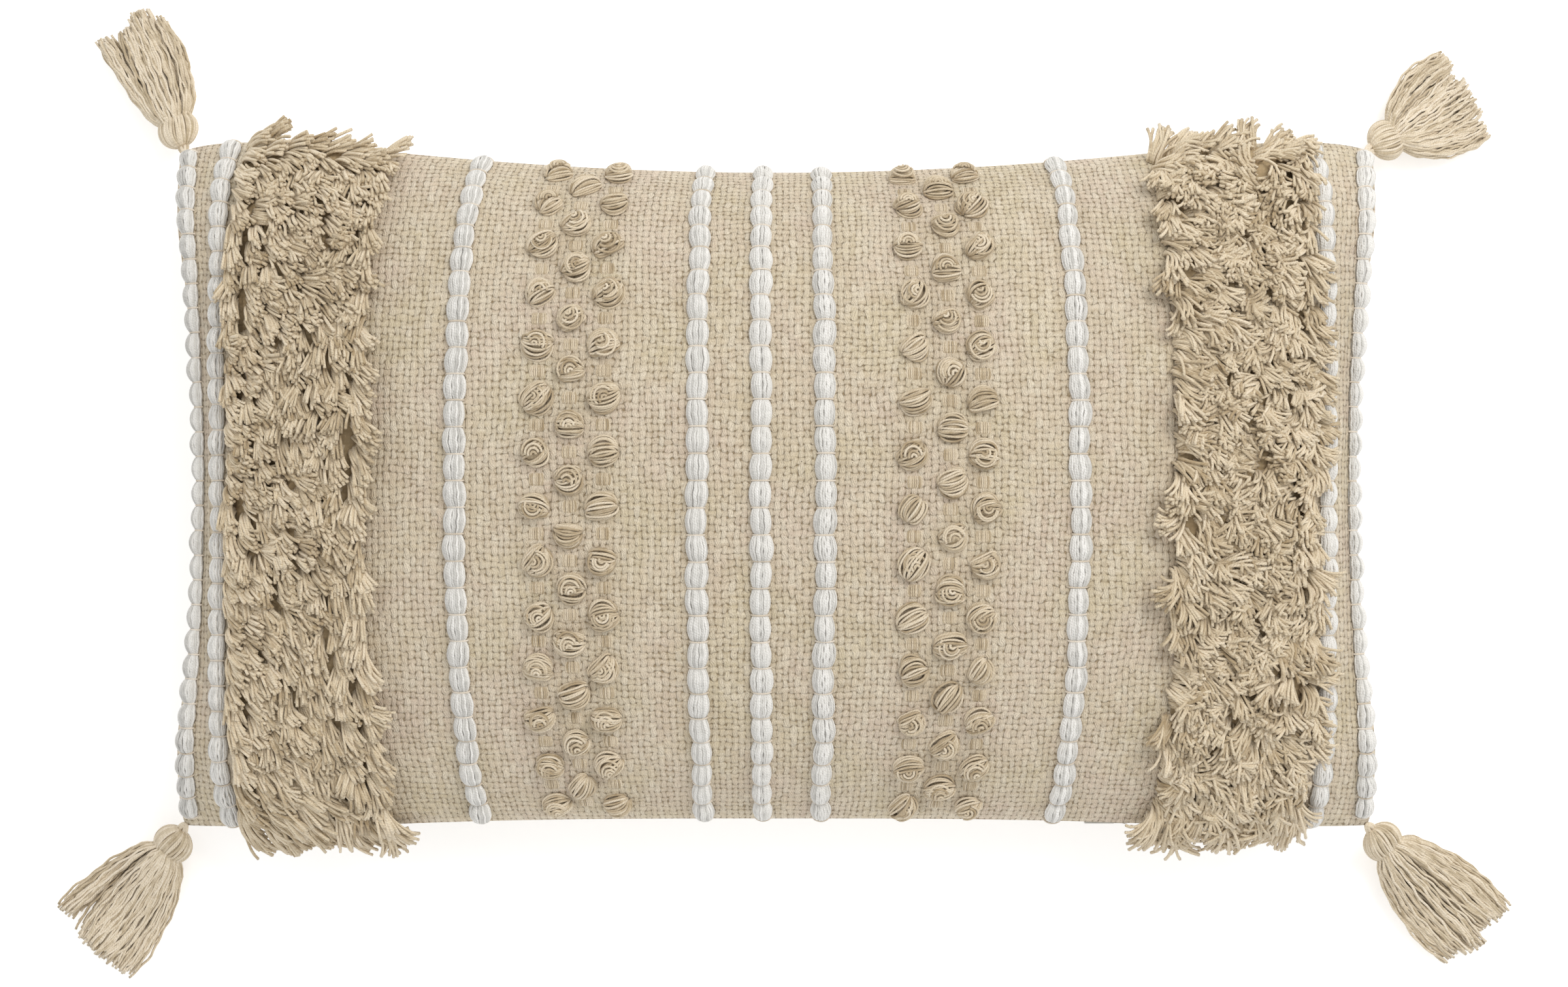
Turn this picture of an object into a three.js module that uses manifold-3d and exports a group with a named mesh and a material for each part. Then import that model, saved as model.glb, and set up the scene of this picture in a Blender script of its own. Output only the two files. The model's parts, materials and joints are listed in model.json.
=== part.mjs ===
// Lumbar throw pillow: a woven cotton cover with corded stripes, looped knots, two shag bands and four
// corner tassels, closed by a zipper in its lower seam, around a fibre-filled insert.
// Millimetres, +Z up. The pillow lies on its back panel, face up, and the origin is under its middle.
// +X runs along the long side, and -Y is the lower long edge, which holds the zipper.
import * as THREE from "three";
import { mergeVertices } from "three/addons/utils/BufferGeometryUtils.js";
import Module from "manifold-3d";

// Driving dimensions of the stuffed pillow.
const FLAT_X = 305; // half of the cover's cut length
const FLAT_Y = 178; // half of the cover's cut height
const CORNER_X = 300; // from the middle to a corner once stuffed
const CORNER_Y = 174;
const TIP_X = 294; // from the middle to the corners' rounded tips
const UPPER_TIP_Y = 164;
const LOWER_TIP_Y = 171;
const TIP_SHARPNESS = 14;
const SIDE_X = 280; // from the middle to the short seams, halfway up
const UPPER_Y = 150; // from the middle to the upper seam, halfway along
const LOWER_Y = 163.7; // from the middle to the lower seam, halfway along
const SEAM_Z = 62; // height of the seam above the surface it lies on
const CORNER_Z = 28; // the empty corners droop to this height
const CROWN = 64; // how far the face rises above the seam
const BELLY = 84; // how far the back would hang below the seam if nothing flattened it
const CLOTH = 1.6; // thickness of the cover's cloth
const SEAM_GAP = 0.15; // from the seam's plane to each panel's rim
const SEAM_INSET = 3.2; // from the seam line to the start of the turned-in seam allowance
const SEAM_WIDTH = 8; // and to its raw edge
const INSERT_DEPTH = 3; // from the outside of the cover to the insert
const INSERT_U = 0.9; // how far the insert reaches towards the seams
const INSERT_V = 0.87;
const INSERT_CORNER = 0.08; // how much its corners are rounded off
const LINING = 0.8; // thickness of the insert's lining
const TOUCH_GAP = 0.3; // left between pieces that touch

// Zipper, in the lower seam.
const ZIP_HALF = 178; // half of the opening's length
const ZIP_SLOT = 4; // half of the slot between the two panels
const ZIP_Y = -162.2; // the chain's middle line
const COIL_R = 0.9;
const COIL_Z = 1.6; // from the chain's middle to each coil's centre
const SLIDER_LENGTH = 9;

// Trims, measured on the flat cloth from the middle line.
const PATTERN_X = -4; // the pattern is woven a little off centre
const STRIPES = [-292, -272, -147, -33, -3, 27, 147, 275, 300];
const STRIPE_WIDTH = 10;
const STRIPE_HEIGHT = 4;
const BEAD_PITCH = 12.7;
const KNOT_COLUMNS = [-108.5, -93, -77, 69, 86, 101.5];
const KNOT_PITCH = 25.4;
const KNOT_WIDTH = 15;
const KNOT_HEIGHT = 9;
const CORD_WIDTH = 6;
const SHAG_FROM = 190;
const SHAG_TO = 266;
const SHAG_ROWS = 4;
const PILE_HEIGHT = 14;
const TRIM_LIFT = 0.6; // clear of the panel's facets

// Tassels: the point that each one turns about, just off its corner's tip, the way it points, in
// degrees from +X, its length from that point, and half of its skirt's width at the ends.
const TASSELS = {
  upper_left: { x: -295, y: 164.8, heading: 114, length: 76, halfWidth: 18.5 },
  upper_right: { x: 295, y: 164.8, heading: 30, length: 64, halfWidth: 25 },
  lower_left: { x: -295, y: -171.8, heading: 232, length: 85, halfWidth: 23 },
  lower_right: { x: 295, y: -171.8, heading: 316, length: 87, halfWidth: 23 },
};
const LOOP_FROM = 0.8; // the loop that holds the head to the corner
const LOOP_TO = 2.6;
const LOOP_R = 1.6;
const HEAD_R = 9.5;
const NECK_AT = 22;
const NECK_R = 7;
const BINDING_R = 1.6; // half of the binding's width
const SKIRT_HALF_HEIGHT = 6;
const REST_Z = 6.6; // height of the strands' middle where they lie flat
const DROOP = 22; // how quickly a tassel falls from its corner to the surface

const COLOURS = {
  cotton: [0xd8c8a8, 0.95],
  white: [0xe2dfd6, 0.92],
  yarn: [0xcdb994, 0.95],
  lining: [0xf0eee8, 0.9],
  fibre: [0xffffff, 1.0],
  tape: [0xd9ccb0, 0.85],
  nylon: [0xe6dfcf, 0.45],
  metal: [0xb8b4a8, 0.35, 0.9],
};

const wasm = await Module();
wasm.setup();

const clamp01 = (t) => Math.min(1, Math.max(0, t));
const smooth = (a, b, x) => {
  const t = clamp01((x - a) / (b - a));
  return t * t * (3 - 2 * t);
};
const mix = (a, b, t) => a + (b - a) * t;

// ---- The stuffed shape. u and v run from -1 to 1 over the flat cloth, along X and Y. ----

// Where the cloth's point lies across the pillow. The middle lies flat and its ends turn down the
// sides. Along the long seams the cloth is gathered.
function planX(u, v) {
  const across = (SIDE_X / 0.924) * u * (1 - 0.076 * Math.abs(u) ** 12);
  const seam = CORNER_X * u * (1 - 0.063 * (1 - u * u));
  const square = mix(across, seam, Math.abs(v) ** (3 - 1.4 * Math.abs(u) ** 6));
  return square - u * (CORNER_X - TIP_X) * rounding(u, v);
}

// 1 at the corners, and almost 0 beyond two or three centimetres from them.
function rounding(u, v) {
  return Math.abs(u * v) ** TIP_SHARPNESS;
}

function planY(u, v) {
  const [chord, bow, tip] = v < 0 ? [LOWER_Y, 3, LOWER_TIP_Y] : [UPPER_Y, 2, UPPER_TIP_Y];
  const turn = 1 - chord / FLAT_Y;
  const along = FLAT_Y * v * (1 - turn * Math.abs(v) ** 3.6);
  const square = mix(along, CORNER_Y * v, Math.abs(u) ** bow);
  return square - v * (CORNER_Y - tip) * rounding(u, v);
}

// The height of the surface that runs between the two panels. It droops towards the corners.
function seamZ(x, y) {
  return mix(SEAM_Z, CORNER_Z, smooth(0.64, 1, Math.abs(x * y) / (CORNER_X * CORNER_Y)));
}

// From 0 at the seam to 1 at the crown.
function puff(u, v) {
  const tx = Math.abs(planX(u, v) / planX(1, v));
  const ty = Math.abs(planY(u, v) / planY(u, v < 0 ? -1 : 1));
  return (1 - clamp01(tx) ** 2.5) ** 0.6 * (1 - clamp01(ty) ** 2.2) ** 0.62;
}

// Half of the gap between the panels: a slot along the zipper, and closed elsewhere.
function seamGap(u, v) {
  const along = 1 - smooth(0.68, 0.76, Math.abs(u));
  return mix(SEAM_GAP, ZIP_SLOT, along * (1 - smooth(-1, -0.9, v)));
}

// A point of the cover's outside, on the face (side 1) or on the back (side -1).
function pillowPoint(u, v, side) {
  const x = planX(u, v);
  const y = planY(u, v);
  const rim = seamZ(x, y) + side * (seamGap(u, v) + CLOTH);
  const rise = puff(u, v);
  const pressed = clamp01((BELLY * rise) / SEAM_Z);
  return new THREE.Vector3(x, y, side > 0 ? rim + CROWN * rise : rim * (1 - pressed) ** 1.3);
}

function pillowNormal(u, v, side) {
  const step = 1e-3;
  const uc = Math.max(-1 + step, Math.min(1 - step, u));
  const vc = Math.max(-1 + step, Math.min(1 - step, v));
  const along = pillowPoint(uc + step, vc, side).sub(pillowPoint(uc - step, vc, side));
  const across = pillowPoint(uc, vc + step, side).sub(pillowPoint(uc, vc - step, side));
  return along.cross(across).normalize().multiplyScalar(side);
}

// A point at a height over the face, along the cloth's own normal.
function overFace(u, v, height) {
  return pillowPoint(u, v, 1).addScaledVector(pillowNormal(u, v, 1), height);
}

// A point straight above or below the cover's outside, at a depth measured across the cloth.
function insidePoint(u, v, side, depth) {
  const p = pillowPoint(u, v, side);
  const steepest = 4;
  const stretch = Math.min(steepest, 1 / Math.abs(pillowNormal(u, v, side).z));
  p.z -= side * depth * stretch;
  return p;
}

// The inside of the cover's cloth. It stays on its own side of the seam.
function clothInside(u, v, side) {
  const p = insidePoint(u, v, side, CLOTH);
  const rim = seamZ(p.x, p.y) + side * seamGap(u, v);
  p.z = side > 0 ? Math.max(p.z, rim) : Math.min(p.z, rim);
  return p;
}

// The insert follows the cover's inside, has rounded corners, and closes at its own rim.
function insertPoint(s, t, side, depth, rimLift) {
  const u = INSERT_U * s * (1 - INSERT_CORNER * t ** 4);
  const v = INSERT_V * t * (1 - INSERT_CORNER * s ** 4);
  const p = insidePoint(u, v, side, depth);
  const rim = seamZ(p.x, p.y) + side * rimLift;
  p.z = mix(rim, p.z, Math.sqrt((1 - s ** 6) * (1 - t ** 6)));
  return p;
}

// ---- Solids ----

// A closed solid through rings of points. Each ring is a loop with an even number of points, and its
// two halves face each other, so that the end rings are closed by a strip between the halves.
function loft(rings) {
  const count = rings[0].length;
  const positions = rings.flat().flatMap((p) => [p.x, p.y, p.z]);
  const faces = [];
  const quad = (a, b, c, d) => faces.push(a, b, c, a, c, d);
  for (let r = 0; r + 1 < rings.length; r++) {
    for (let j = 0; j < count; j++) {
      const here = r * count + j;
      const next = r * count + ((j + 1) % count);
      // Both halves are cut along the same diagonals, so that two skins never cross between points.
      if (j < count / 2) quad(here, next, next + count, here + count);
      else quad(next, next + count, here + count, here);
    }
  }
  const last = (rings.length - 1) * count;
  for (let j = 0; j + 1 < count / 2; j++) {
    const facing = count - 1 - j;
    quad(j, facing, facing - 1, j + 1);
    quad(last + j, last + j + 1, last + facing - 1, last + facing);
  }
  const geometry = new THREE.BufferGeometry();
  geometry.setAttribute("position", new THREE.Float32BufferAttribute(positions, 3));
  geometry.setIndex(volumeOf(positions, faces) < 0 ? faces.reverse() : faces);
  geometry.computeVertexNormals();
  return geometry;
}

function volumeOf(positions, faces) {
  const at = (i) => new THREE.Vector3().fromArray(positions, 3 * i);
  let sum = 0;
  for (let i = 0; i < faces.length; i += 3) {
    sum += at(faces[i]).dot(at(faces[i + 1]).cross(at(faces[i + 2])));
  }
  return sum;
}

// Steps from -limit to limit, closer together towards the ends.
function steps(count, limit = 1) {
  return Array.from({ length: count + 1 }, (_, i) => {
    const t = -1 + (2 * i) / count;
    return limit * t * (1.5 - 0.5 * t * t);
  });
}

// The solid between two skins. Each skin gives a point for a pair of numbers from -1 to 1.
function between(outer, inner, countU, countV) {
  const vs = steps(countV);
  const backwards = [...vs].reverse();
  return loft(
    steps(countU).map((u) => [...vs.map((v) => outer(u, v)), ...backwards.map((v) => inner(u, v))]),
  );
}

// A trim that lies on the face along a line of the cloth. width and height are given at each v.
function trimAlong(flatX, vs, width, height) {
  return loft(
    vs.map((v) => {
      const lift = TRIM_LIFT * (1 + 3 * smooth(0.7, 1, Math.abs((v * flatX) / FLAT_X)));
      const at = (share, rise) =>
        overFace((PATTERN_X + flatX + share * width(v)) / FLAT_X, v, lift + rise * height(v));
      return [at(-0.5, 0), at(-0.3, 1), at(0.3, 1), at(0.5, 0)];
    }),
  );
}

function toManifold(geometry) {
  const bare = geometry.clone();
  bare.deleteAttribute("normal");
  bare.deleteAttribute("uv");
  const merged = mergeVertices(bare, 1e-4);
  return new wasm.Manifold(
    new wasm.Mesh({
      numProp: 3,
      vertProperties: merged.attributes.position.array,
      triVerts: new Uint32Array(merged.index.array),
    }),
  );
}

function toGeometry(solid) {
  const mesh = solid.getMesh();
  const geometry = new THREE.BufferGeometry();
  geometry.setAttribute("position", new THREE.BufferAttribute(mesh.vertProperties.slice(), 3));
  geometry.setIndex(new THREE.BufferAttribute(mesh.triVerts.slice(), 1));
  geometry.computeVertexNormals();
  return geometry;
}

function box(x, y, z, width, depth, height) {
  return new THREE.BoxGeometry(width, depth, height).translate(x, y, z);
}

function materialOf(name) {
  const [color, roughness, metalness = 0] = COLOURS[name];
  return new THREE.MeshStandardMaterial({ color, roughness, metalness });
}

const MATERIALS = Object.fromEntries(Object.keys(COLOURS).map((name) => [name, materialOf(name)]));

function piece(parent, name, material, geometry) {
  const mesh = new THREE.Mesh(geometry, MATERIALS[material]);
  mesh.name = name;
  parent.add(mesh);
  return mesh;
}

// ---- Cover and insert ----

function cover(parent) {
  for (const [name, side] of [["front_panel", 1], ["back_panel", -1]]) {
    const outside = (u, v) => pillowPoint(u, v, side);
    const inside = (u, v) => clothInside(u, v, side);
    piece(parent, name, "cotton", between(outside, inside, 24, 14));
  }
  piece(parent, "seam_allowance", "cotton", seamAllowance());
}

// The two panels' raw edges, overlocked together inside the cover. It runs from one end of the
// zipper round to the other, and its corners are clipped.
function seamAllowance() {
  const halfHeight = 0.5;
  const zipEnd = 0.7;
  const clip = 0.92;
  const sideSteps = 16;
  const path = [];
  const side = (u0, v0, u1, v1) => {
    for (let i = 0; i <= sideSteps; i++) {
      path.push([mix(u0, u1, i / sideSteps), mix(v0, v1, i / sideSteps)]);
    }
  };
  side(-zipEnd, -1, -clip, -1);
  side(-1, -clip, -1, clip);
  side(-clip, 1, clip, 1);
  side(1, clip, 1, -clip);
  side(clip, -1, zipEnd, -1);
  const at = ([u, v], inset, dz) => {
    const x = planX(u, v) * (1 - inset / CORNER_X);
    const y = planY(u, v) * (1 - inset / CORNER_Y);
    return new THREE.Vector3(x, y, seamZ(x, y) + dz);
  };
  return loft(
    path.map((uv) => [
      at(uv, SEAM_INSET, -halfHeight),
      at(uv, SEAM_INSET, halfHeight),
      at(uv, SEAM_WIDTH, halfHeight),
      at(uv, SEAM_WIDTH, -halfHeight),
    ]),
  );
}

// The insert is a plain cushion: two lining panels sewn round a block of loose fibre.
function insert(parent) {
  const fibreRim = 0.2;
  const liningRim = fibreRim + TOUCH_GAP;
  const skin = (side, depth, rimLift) => (s, t) => insertPoint(s, t, side, depth, rimLift);
  for (const [name, side] of [["insert_top", 1], ["insert_bottom", -1]]) {
    const outside = skin(side, INSERT_DEPTH, liningRim + LINING);
    const inside = skin(side, INSERT_DEPTH + LINING, liningRim);
    piece(parent, name, "lining", between(outside, inside, 14, 8));
  }
  const fibre = (side) => skin(side, INSERT_DEPTH + LINING + TOUCH_GAP, fibreRim);
  piece(parent, "fibre_fill", "fibre", between(fibre(1), fibre(-1), 14, 8));
}

// ---- Trims on the face ----

function stripes(parent) {
  const beads = Math.round((2 * FLAT_Y) / BEAD_PITCH);
  const reach = 0.985;
  const vs = Array.from({ length: 2 * beads + 1 }, (_, i) => reach * (-1 + i / beads));
  const swell = (v) => {
    const i = Math.round((v / reach + 1) * beads);
    return i % 2;
  };
  STRIPES.forEach((flatX, i) => {
    const width = (v) => STRIPE_WIDTH * mix(0.62, 1, swell(v));
    const height = (v) => STRIPE_HEIGHT * mix(0.5, 1, swell(v));
    piece(parent, `bobble_stripe_${i + 1}`, "white", trimAlong(flatX, vs, width, height));
  });
}

// Each column is one thick yarn that lies in the cloth and is pulled up into a knot of loops every
// KNOT_PITCH. The middle column of each three is shifted by half a pitch.
function knotCords(parent) {
  const knots = Math.round((2 * FLAT_Y) / KNOT_PITCH);
  const perPitch = 4;
  const reach = 0.96;
  KNOT_COLUMNS.forEach((flatX, i) => {
    const shift = i % 3 === 1 ? perPitch / 2 : 0;
    const count = knots * perPitch;
    const vs = Array.from({ length: count + 1 }, (_, k) => reach * (-1 + (2 * k) / count));
    const swell = (v) => {
      const k = Math.round(((v / reach + 1) * count) / 2) + shift;
      return [0, 0.8, 1, 0.8][k % perPitch];
    };
    const width = (v) => mix(CORD_WIDTH, KNOT_WIDTH, swell(v));
    const height = (v) => mix(2, KNOT_HEIGHT, swell(v));
    piece(parent, `knot_cord_${i + 1}`, "yarn", trimAlong(flatX, vs, width, height));
  });
}

// A shag band is made of rows of cut pile. Each row is one block of pile that follows the face.
function shag(parent) {
  const pitch = (SHAG_TO - SHAG_FROM) / SHAG_ROWS;
  const vs = steps(18, 0.985);
  for (const [sideName, sign] of [["left", -1], ["right", 1]]) {
    for (let row = 0; row < SHAG_ROWS; row++) {
      const inner = SHAG_FROM + row * pitch + TOUCH_GAP;
      const outer = inner + pitch - 2 * TOUCH_GAP;
      const across = [inner, (inner + outer) / 2, outer];
      const at = (flatX, v, rise) => overFace((PATTERN_X + sign * flatX) / FLAT_X, v, rise);
      const rings = vs.map((v) => [
        ...across.map((flatX) => at(flatX, v, 2 * TRIM_LIFT)),
        ...[...across].reverse().map((flatX) => at(flatX, v, PILE_HEIGHT)),
      ]);
      piece(parent, `shag_row_${sideName}_${row + 1}`, "yarn", loft(rings));
    }
  }
}

// ---- Tassels ----

// Height of a tassel's middle line above the surface, at a distance from its corner.
function tasselZ(along) {
  return REST_Z + (CORNER_Z - REST_Z) * Math.exp(-along / DROOP);
}

function ellipseRing(along, halfWidth, halfHeight, count = 12) {
  return Array.from({ length: count }, (_, i) => {
    const angle = (2 * Math.PI * (i + 0.5)) / count;
    return new THREE.Vector3(
      along, halfWidth * Math.cos(angle), tasselZ(along) + halfHeight * Math.sin(angle));
  });
}

function tassel(parent, name, { x, y, heading, length, halfWidth: endHalfWidth }) {
  const group = new THREE.Group();
  group.position.set(x, y, 0);
  group.rotation.z = THREE.MathUtils.degToRad(heading);
  parent.add(group);

  const loopRings = [LOOP_FROM, LOOP_TO].map((along) => ellipseRing(along, LOOP_R, LOOP_R, 8));
  piece(group, `tassel_${name}_loop`, "yarn", loft(loopRings));

  const headFrom = LOOP_TO + TOUCH_GAP;
  const headTo = NECK_AT - BINDING_R - TOUCH_GAP;
  const headRings = [0, 0.08, 0.22, 0.4, 0.6, 0.78, 0.92, 1].map((t) => {
    const bulge = Math.sqrt(Math.max(0, 1 - (2 * t - 1) ** 2));
    const radius = Math.max(mix(2.2, NECK_R, t), HEAD_R * bulge);
    return ellipseRing(mix(headFrom, headTo, t), radius, radius);
  });
  piece(group, `tassel_${name}_head`, "yarn", loft(headRings));

  const bindingRings = [-1, -0.5, 0.5, 1].map((t) => {
    const radius = NECK_R + BINDING_R * Math.sqrt(1 - 0.75 * t * t);
    return ellipseRing(NECK_AT + t * BINDING_R, radius, radius);
  });
  piece(group, `tassel_${name}_binding`, "yarn", loft(bindingRings));

  // The strands leave the binding as a round bundle, then spread and flatten as they come to rest.
  const skirtFrom = NECK_AT + BINDING_R + TOUCH_GAP;
  const skirtSteps = 7;
  const bundle = (t) => mix(NECK_R, 8.7, smooth(0, 0.2, t));
  const flattened = (t) => mix(9, SKIRT_HALF_HEIGHT, smooth(0.1, 0.6, t));
  const skirtRings = Array.from({ length: skirtSteps + 1 }, (_, i) => {
    const t = i / skirtSteps;
    const halfWidth = mix(NECK_R, endHalfWidth, smooth(-0.25, 0.9, t));
    const halfHeight = Math.min(bundle(t), flattened(t));
    return ellipseRing(mix(skirtFrom, length, t), halfWidth, halfHeight);
  });
  piece(group, `tassel_${name}_skirt`, "yarn", loft(skirtRings));
}

// ---- Zipper ----

// Cloth tapes run behind the panels' rims, each with a coil along its edge. zSign is 1 for the
// tape sewn to the front panel and -1 for the back panel's.
function zipSide(parent, name, zSign) {
  const profile = new THREE.Shape();
  [[0.8, 2.8], [0.8, 5.2], [5.5, 10.4], [6.2, 9.8], [1.6, 4.9], [1.6, 2.8]].forEach(([inwards, up], i) => {
    const command = i ? "lineTo" : "moveTo";
    profile[command](ZIP_Y + inwards, SEAM_Z + zSign * up);
  });
  profile.closePath();
  const length = 2 * ZIP_HALF;
  const tape = new THREE.ExtrudeGeometry(profile, { depth: length, bevelEnabled: false });
  // The profile is drawn in X and Y and pushed along Z, so it is turned to stand in Y and Z.
  const turn = new THREE.Matrix4().makeBasis(
    new THREE.Vector3(0, 1, 0), new THREE.Vector3(0, 0, 1), new THREE.Vector3(1, 0, 0));
  tape.applyMatrix4(turn).translate(-ZIP_HALF, 0, 0);
  piece(parent, `zip_tape_${name}`, "tape", tape);

  const coil = new THREE.CylinderGeometry(COIL_R, COIL_R, length - 8, 8);
  coil.rotateZ(Math.PI / 2).translate(0, ZIP_Y, SEAM_Z + zSign * COIL_Z);
  piece(parent, `zip_coil_${name}`, "nylon", coil);

  const stop = box(ZIP_HALF - 2, ZIP_Y, SEAM_Z + zSign * COIL_Z, 2.4, 2 * COIL_R, 2 * COIL_R);
  piece(parent, `zip_top_stop_${name}`, "metal", stop);
}

// Two plates, in front of the coils and behind them, joined by a post that runs between them. The
// front plate has two lugs and a pin for the pull.
function slider(parent, atX) {
  const front = ZIP_Y - COIL_R - TOUCH_GAP;
  const behind = ZIP_Y + COIL_R + TOUCH_GAP;
  const plate = 1.1;
  const lugZ = 1.95;
  const pinY = front - plate - 1.2;
  const middle = atX - SLIDER_LENGTH / 2;
  const pieces = [
    box(middle, front - plate / 2, SEAM_Z, SLIDER_LENGTH, plate, 6.6),
    box(middle, behind + plate / 2, SEAM_Z, SLIDER_LENGTH, plate, 4.2),
    box(middle, (front + behind) / 2, SEAM_Z, 3, behind - front + plate, 0.8),
    box(middle, pinY + 0.7, SEAM_Z + lugZ, 2.6, 2.8, 0.9),
    box(middle, pinY + 0.7, SEAM_Z - lugZ, 2.6, 2.8, 0.9),
    new THREE.CylinderGeometry(0.4, 0.4, 2 * lugZ, 8).rotateX(Math.PI / 2).translate(middle, pinY, SEAM_Z),
  ];
  const solid = pieces.map(toManifold).reduce((a, b) => a.add(b));
  piece(parent, "zip_slider", "metal", toGeometry(solid));
  pull(parent, middle, pinY);
}

// A flat tab with an eye round the slider's pin. It lies along the chain, towards the zipper's
// closed end.
function pull(parent, pinX, pinY) {
  const width = 2.6;
  const eye = new THREE.CylinderGeometry(1.05, 1.05, width, 12).rotateX(Math.PI / 2);
  const bore = new THREE.CylinderGeometry(0.7, 0.7, 2 * width, 12).rotateX(Math.PI / 2);
  const neck = box(-3.2, -0.3, 0, 5, 0.9, width);
  const tab = box(-12.4, -0.3, 0, 14, 0.9, 5);
  const solid = [eye, neck, tab].map(toManifold).reduce((a, b) => a.add(b)).subtract(toManifold(bore));
  const mesh = piece(parent, "zip_pull", "metal", toGeometry(solid));
  mesh.position.set(pinX, pinY, SEAM_Z);
}

function zipper(parent) {
  zipSide(parent, "front", 1);
  zipSide(parent, "back", -1);
  const closedEnd = ZIP_HALF - 4;
  slider(parent, closedEnd);
  const bottomStop = box(-ZIP_HALF + 2, ZIP_Y, SEAM_Z, 2.4, 2 * COIL_R, 2 * (COIL_Z + COIL_R));
  piece(parent, "zip_bottom_stop", "metal", bottomStop);
}

const pillow = new THREE.Group();
pillow.name = "throw_pillow";
cover(pillow);
insert(pillow);
stripes(pillow);
knotCords(pillow);
shag(pillow);
for (const [name, spec] of Object.entries(TASSELS)) tassel(pillow, name, spec);
zipper(pillow);

export default pillow;
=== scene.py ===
"""Looks of the throw pillow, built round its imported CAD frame.

Lengths are in millimetres on the CAD's axes, and become metres where a mesh is made.
a and b are places on the flat cloth: a runs along X and b along Y, both from the cloth's middle.
"""

import json

import bpy
import numpy as np
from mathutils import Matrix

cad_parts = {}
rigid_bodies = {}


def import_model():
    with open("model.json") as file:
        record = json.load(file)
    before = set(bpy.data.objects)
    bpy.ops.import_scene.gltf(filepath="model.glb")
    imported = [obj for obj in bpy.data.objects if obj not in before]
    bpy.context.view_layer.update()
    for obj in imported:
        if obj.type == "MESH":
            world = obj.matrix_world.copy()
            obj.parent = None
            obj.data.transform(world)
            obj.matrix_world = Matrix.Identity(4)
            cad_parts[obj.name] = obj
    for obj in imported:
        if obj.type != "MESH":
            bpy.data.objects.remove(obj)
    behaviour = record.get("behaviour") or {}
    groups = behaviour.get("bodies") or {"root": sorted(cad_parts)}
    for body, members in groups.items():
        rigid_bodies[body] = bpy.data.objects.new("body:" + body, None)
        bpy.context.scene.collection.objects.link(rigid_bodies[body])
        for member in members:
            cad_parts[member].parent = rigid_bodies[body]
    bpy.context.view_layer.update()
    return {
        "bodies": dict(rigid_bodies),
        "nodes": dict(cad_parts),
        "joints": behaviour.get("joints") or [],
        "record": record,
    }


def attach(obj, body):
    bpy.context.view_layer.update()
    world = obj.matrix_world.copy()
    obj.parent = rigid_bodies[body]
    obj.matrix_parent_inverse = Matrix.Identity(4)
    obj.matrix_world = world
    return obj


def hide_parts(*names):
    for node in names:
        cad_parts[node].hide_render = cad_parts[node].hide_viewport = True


MM = 0.001

# The stuffed shape, as in the part.
FLAT_X = 305  # half of the cut length
FLAT_Y = 178
CORNER_X = 300  # from the middle to a corner once stuffed
CORNER_Y = 174
TIP_X = 294  # the corners' rounded tips
UPPER_TIP_Y = 164
LOWER_TIP_Y = 171
TIP_SHARPNESS = 14
SIDE_X = 280  # the short seams, halfway up
SIDE_EASE = 0.076  # how much the cloth closes up towards them
CORNER_EASE = 0.063  # and along the middle of the long seams
UPPER_Y = 150  # the long seams, halfway along
LOWER_Y = 163.7
SEAM_Z = 62
CORNER_Z = 28  # the corners droop
CROWN = 64  # how far the face rises above the seam
BELLY = 84  # how far the back would hang below it
CLOTH = 1.6
SEAM_GAP = 0.15
ZIP_SLOT = 4  # half of the slot's height

# The cloth's simulation.
FRONT_PRESSURE = 1.5
FRONT_TRAVEL = 6  # furthest that the front may settle
BACK_PRESSURE = 1.0
BACK_TRAVEL = 4
SETTLING_FRAMES = 24

# The insert: its depth under the cover, and how far it reaches towards the seams.
INSERT_DEPTH = 6
INSERT_REACH = (0.88, 0.85)
FIBRE_DEPTH = 9
FIBRE_REACH = (0.86, 0.83)

# Trims on the flat cloth, as in the part.
PATTERN_X = -4  # the pattern is woven a little off centre
STRIPES = [-292, -272, -147, -33, -3, 27, 147, 275, 300]
BEAD_PITCH = 12.7
KNOT_COLUMNS = [-108.5, -93, -77, 69, 86, 101.5]
KNOT_PITCH = 25.4
SHAG_FROM = 190
SHAG_TO = 266
SHAG_ROWS = 4

# Bobble stripes.
BEAD_WIDTH = 10.8
BEAD_HEIGHT = 5.2
BEAD_STRANDS = 13
STRAND_R = 0.72
TIE_HALF = 4.2
TIE_R = 0.48

# Knots: their size, and the yarns that make them.
KNOT_LENGTH_HALF = 6.3
KNOT_WIDTH_HALF = 6.2
KNOT_HEIGHT = 5.6
KNOT_ARCS = 14
KNOT_LOOPS = 4
KNOT_FLOATS = 8
KNOT_R = 0.6
KNOT_LOOP_R = 0.62
KNOT_FLOAT_R = 0.5

# Shag: tufts of cut yarn.
TUFT_PITCH = 6.4
TUFT_HALF = 3.1
TUFT_YARNS = 23
PILE_LENGTH = 17
PILE_R = 0.76

# Zipper, as in the part.
ZIP_HALF = 178
ZIP_Y = -162.2
COIL_R = 0.9
COIL_Z = 1.6
COIL_PITCH = 1.5
COIL_WIRE_R = 0.32
LIP_SCALE = 0.955  # the lower seam's place along X against the flat cloth's

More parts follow.
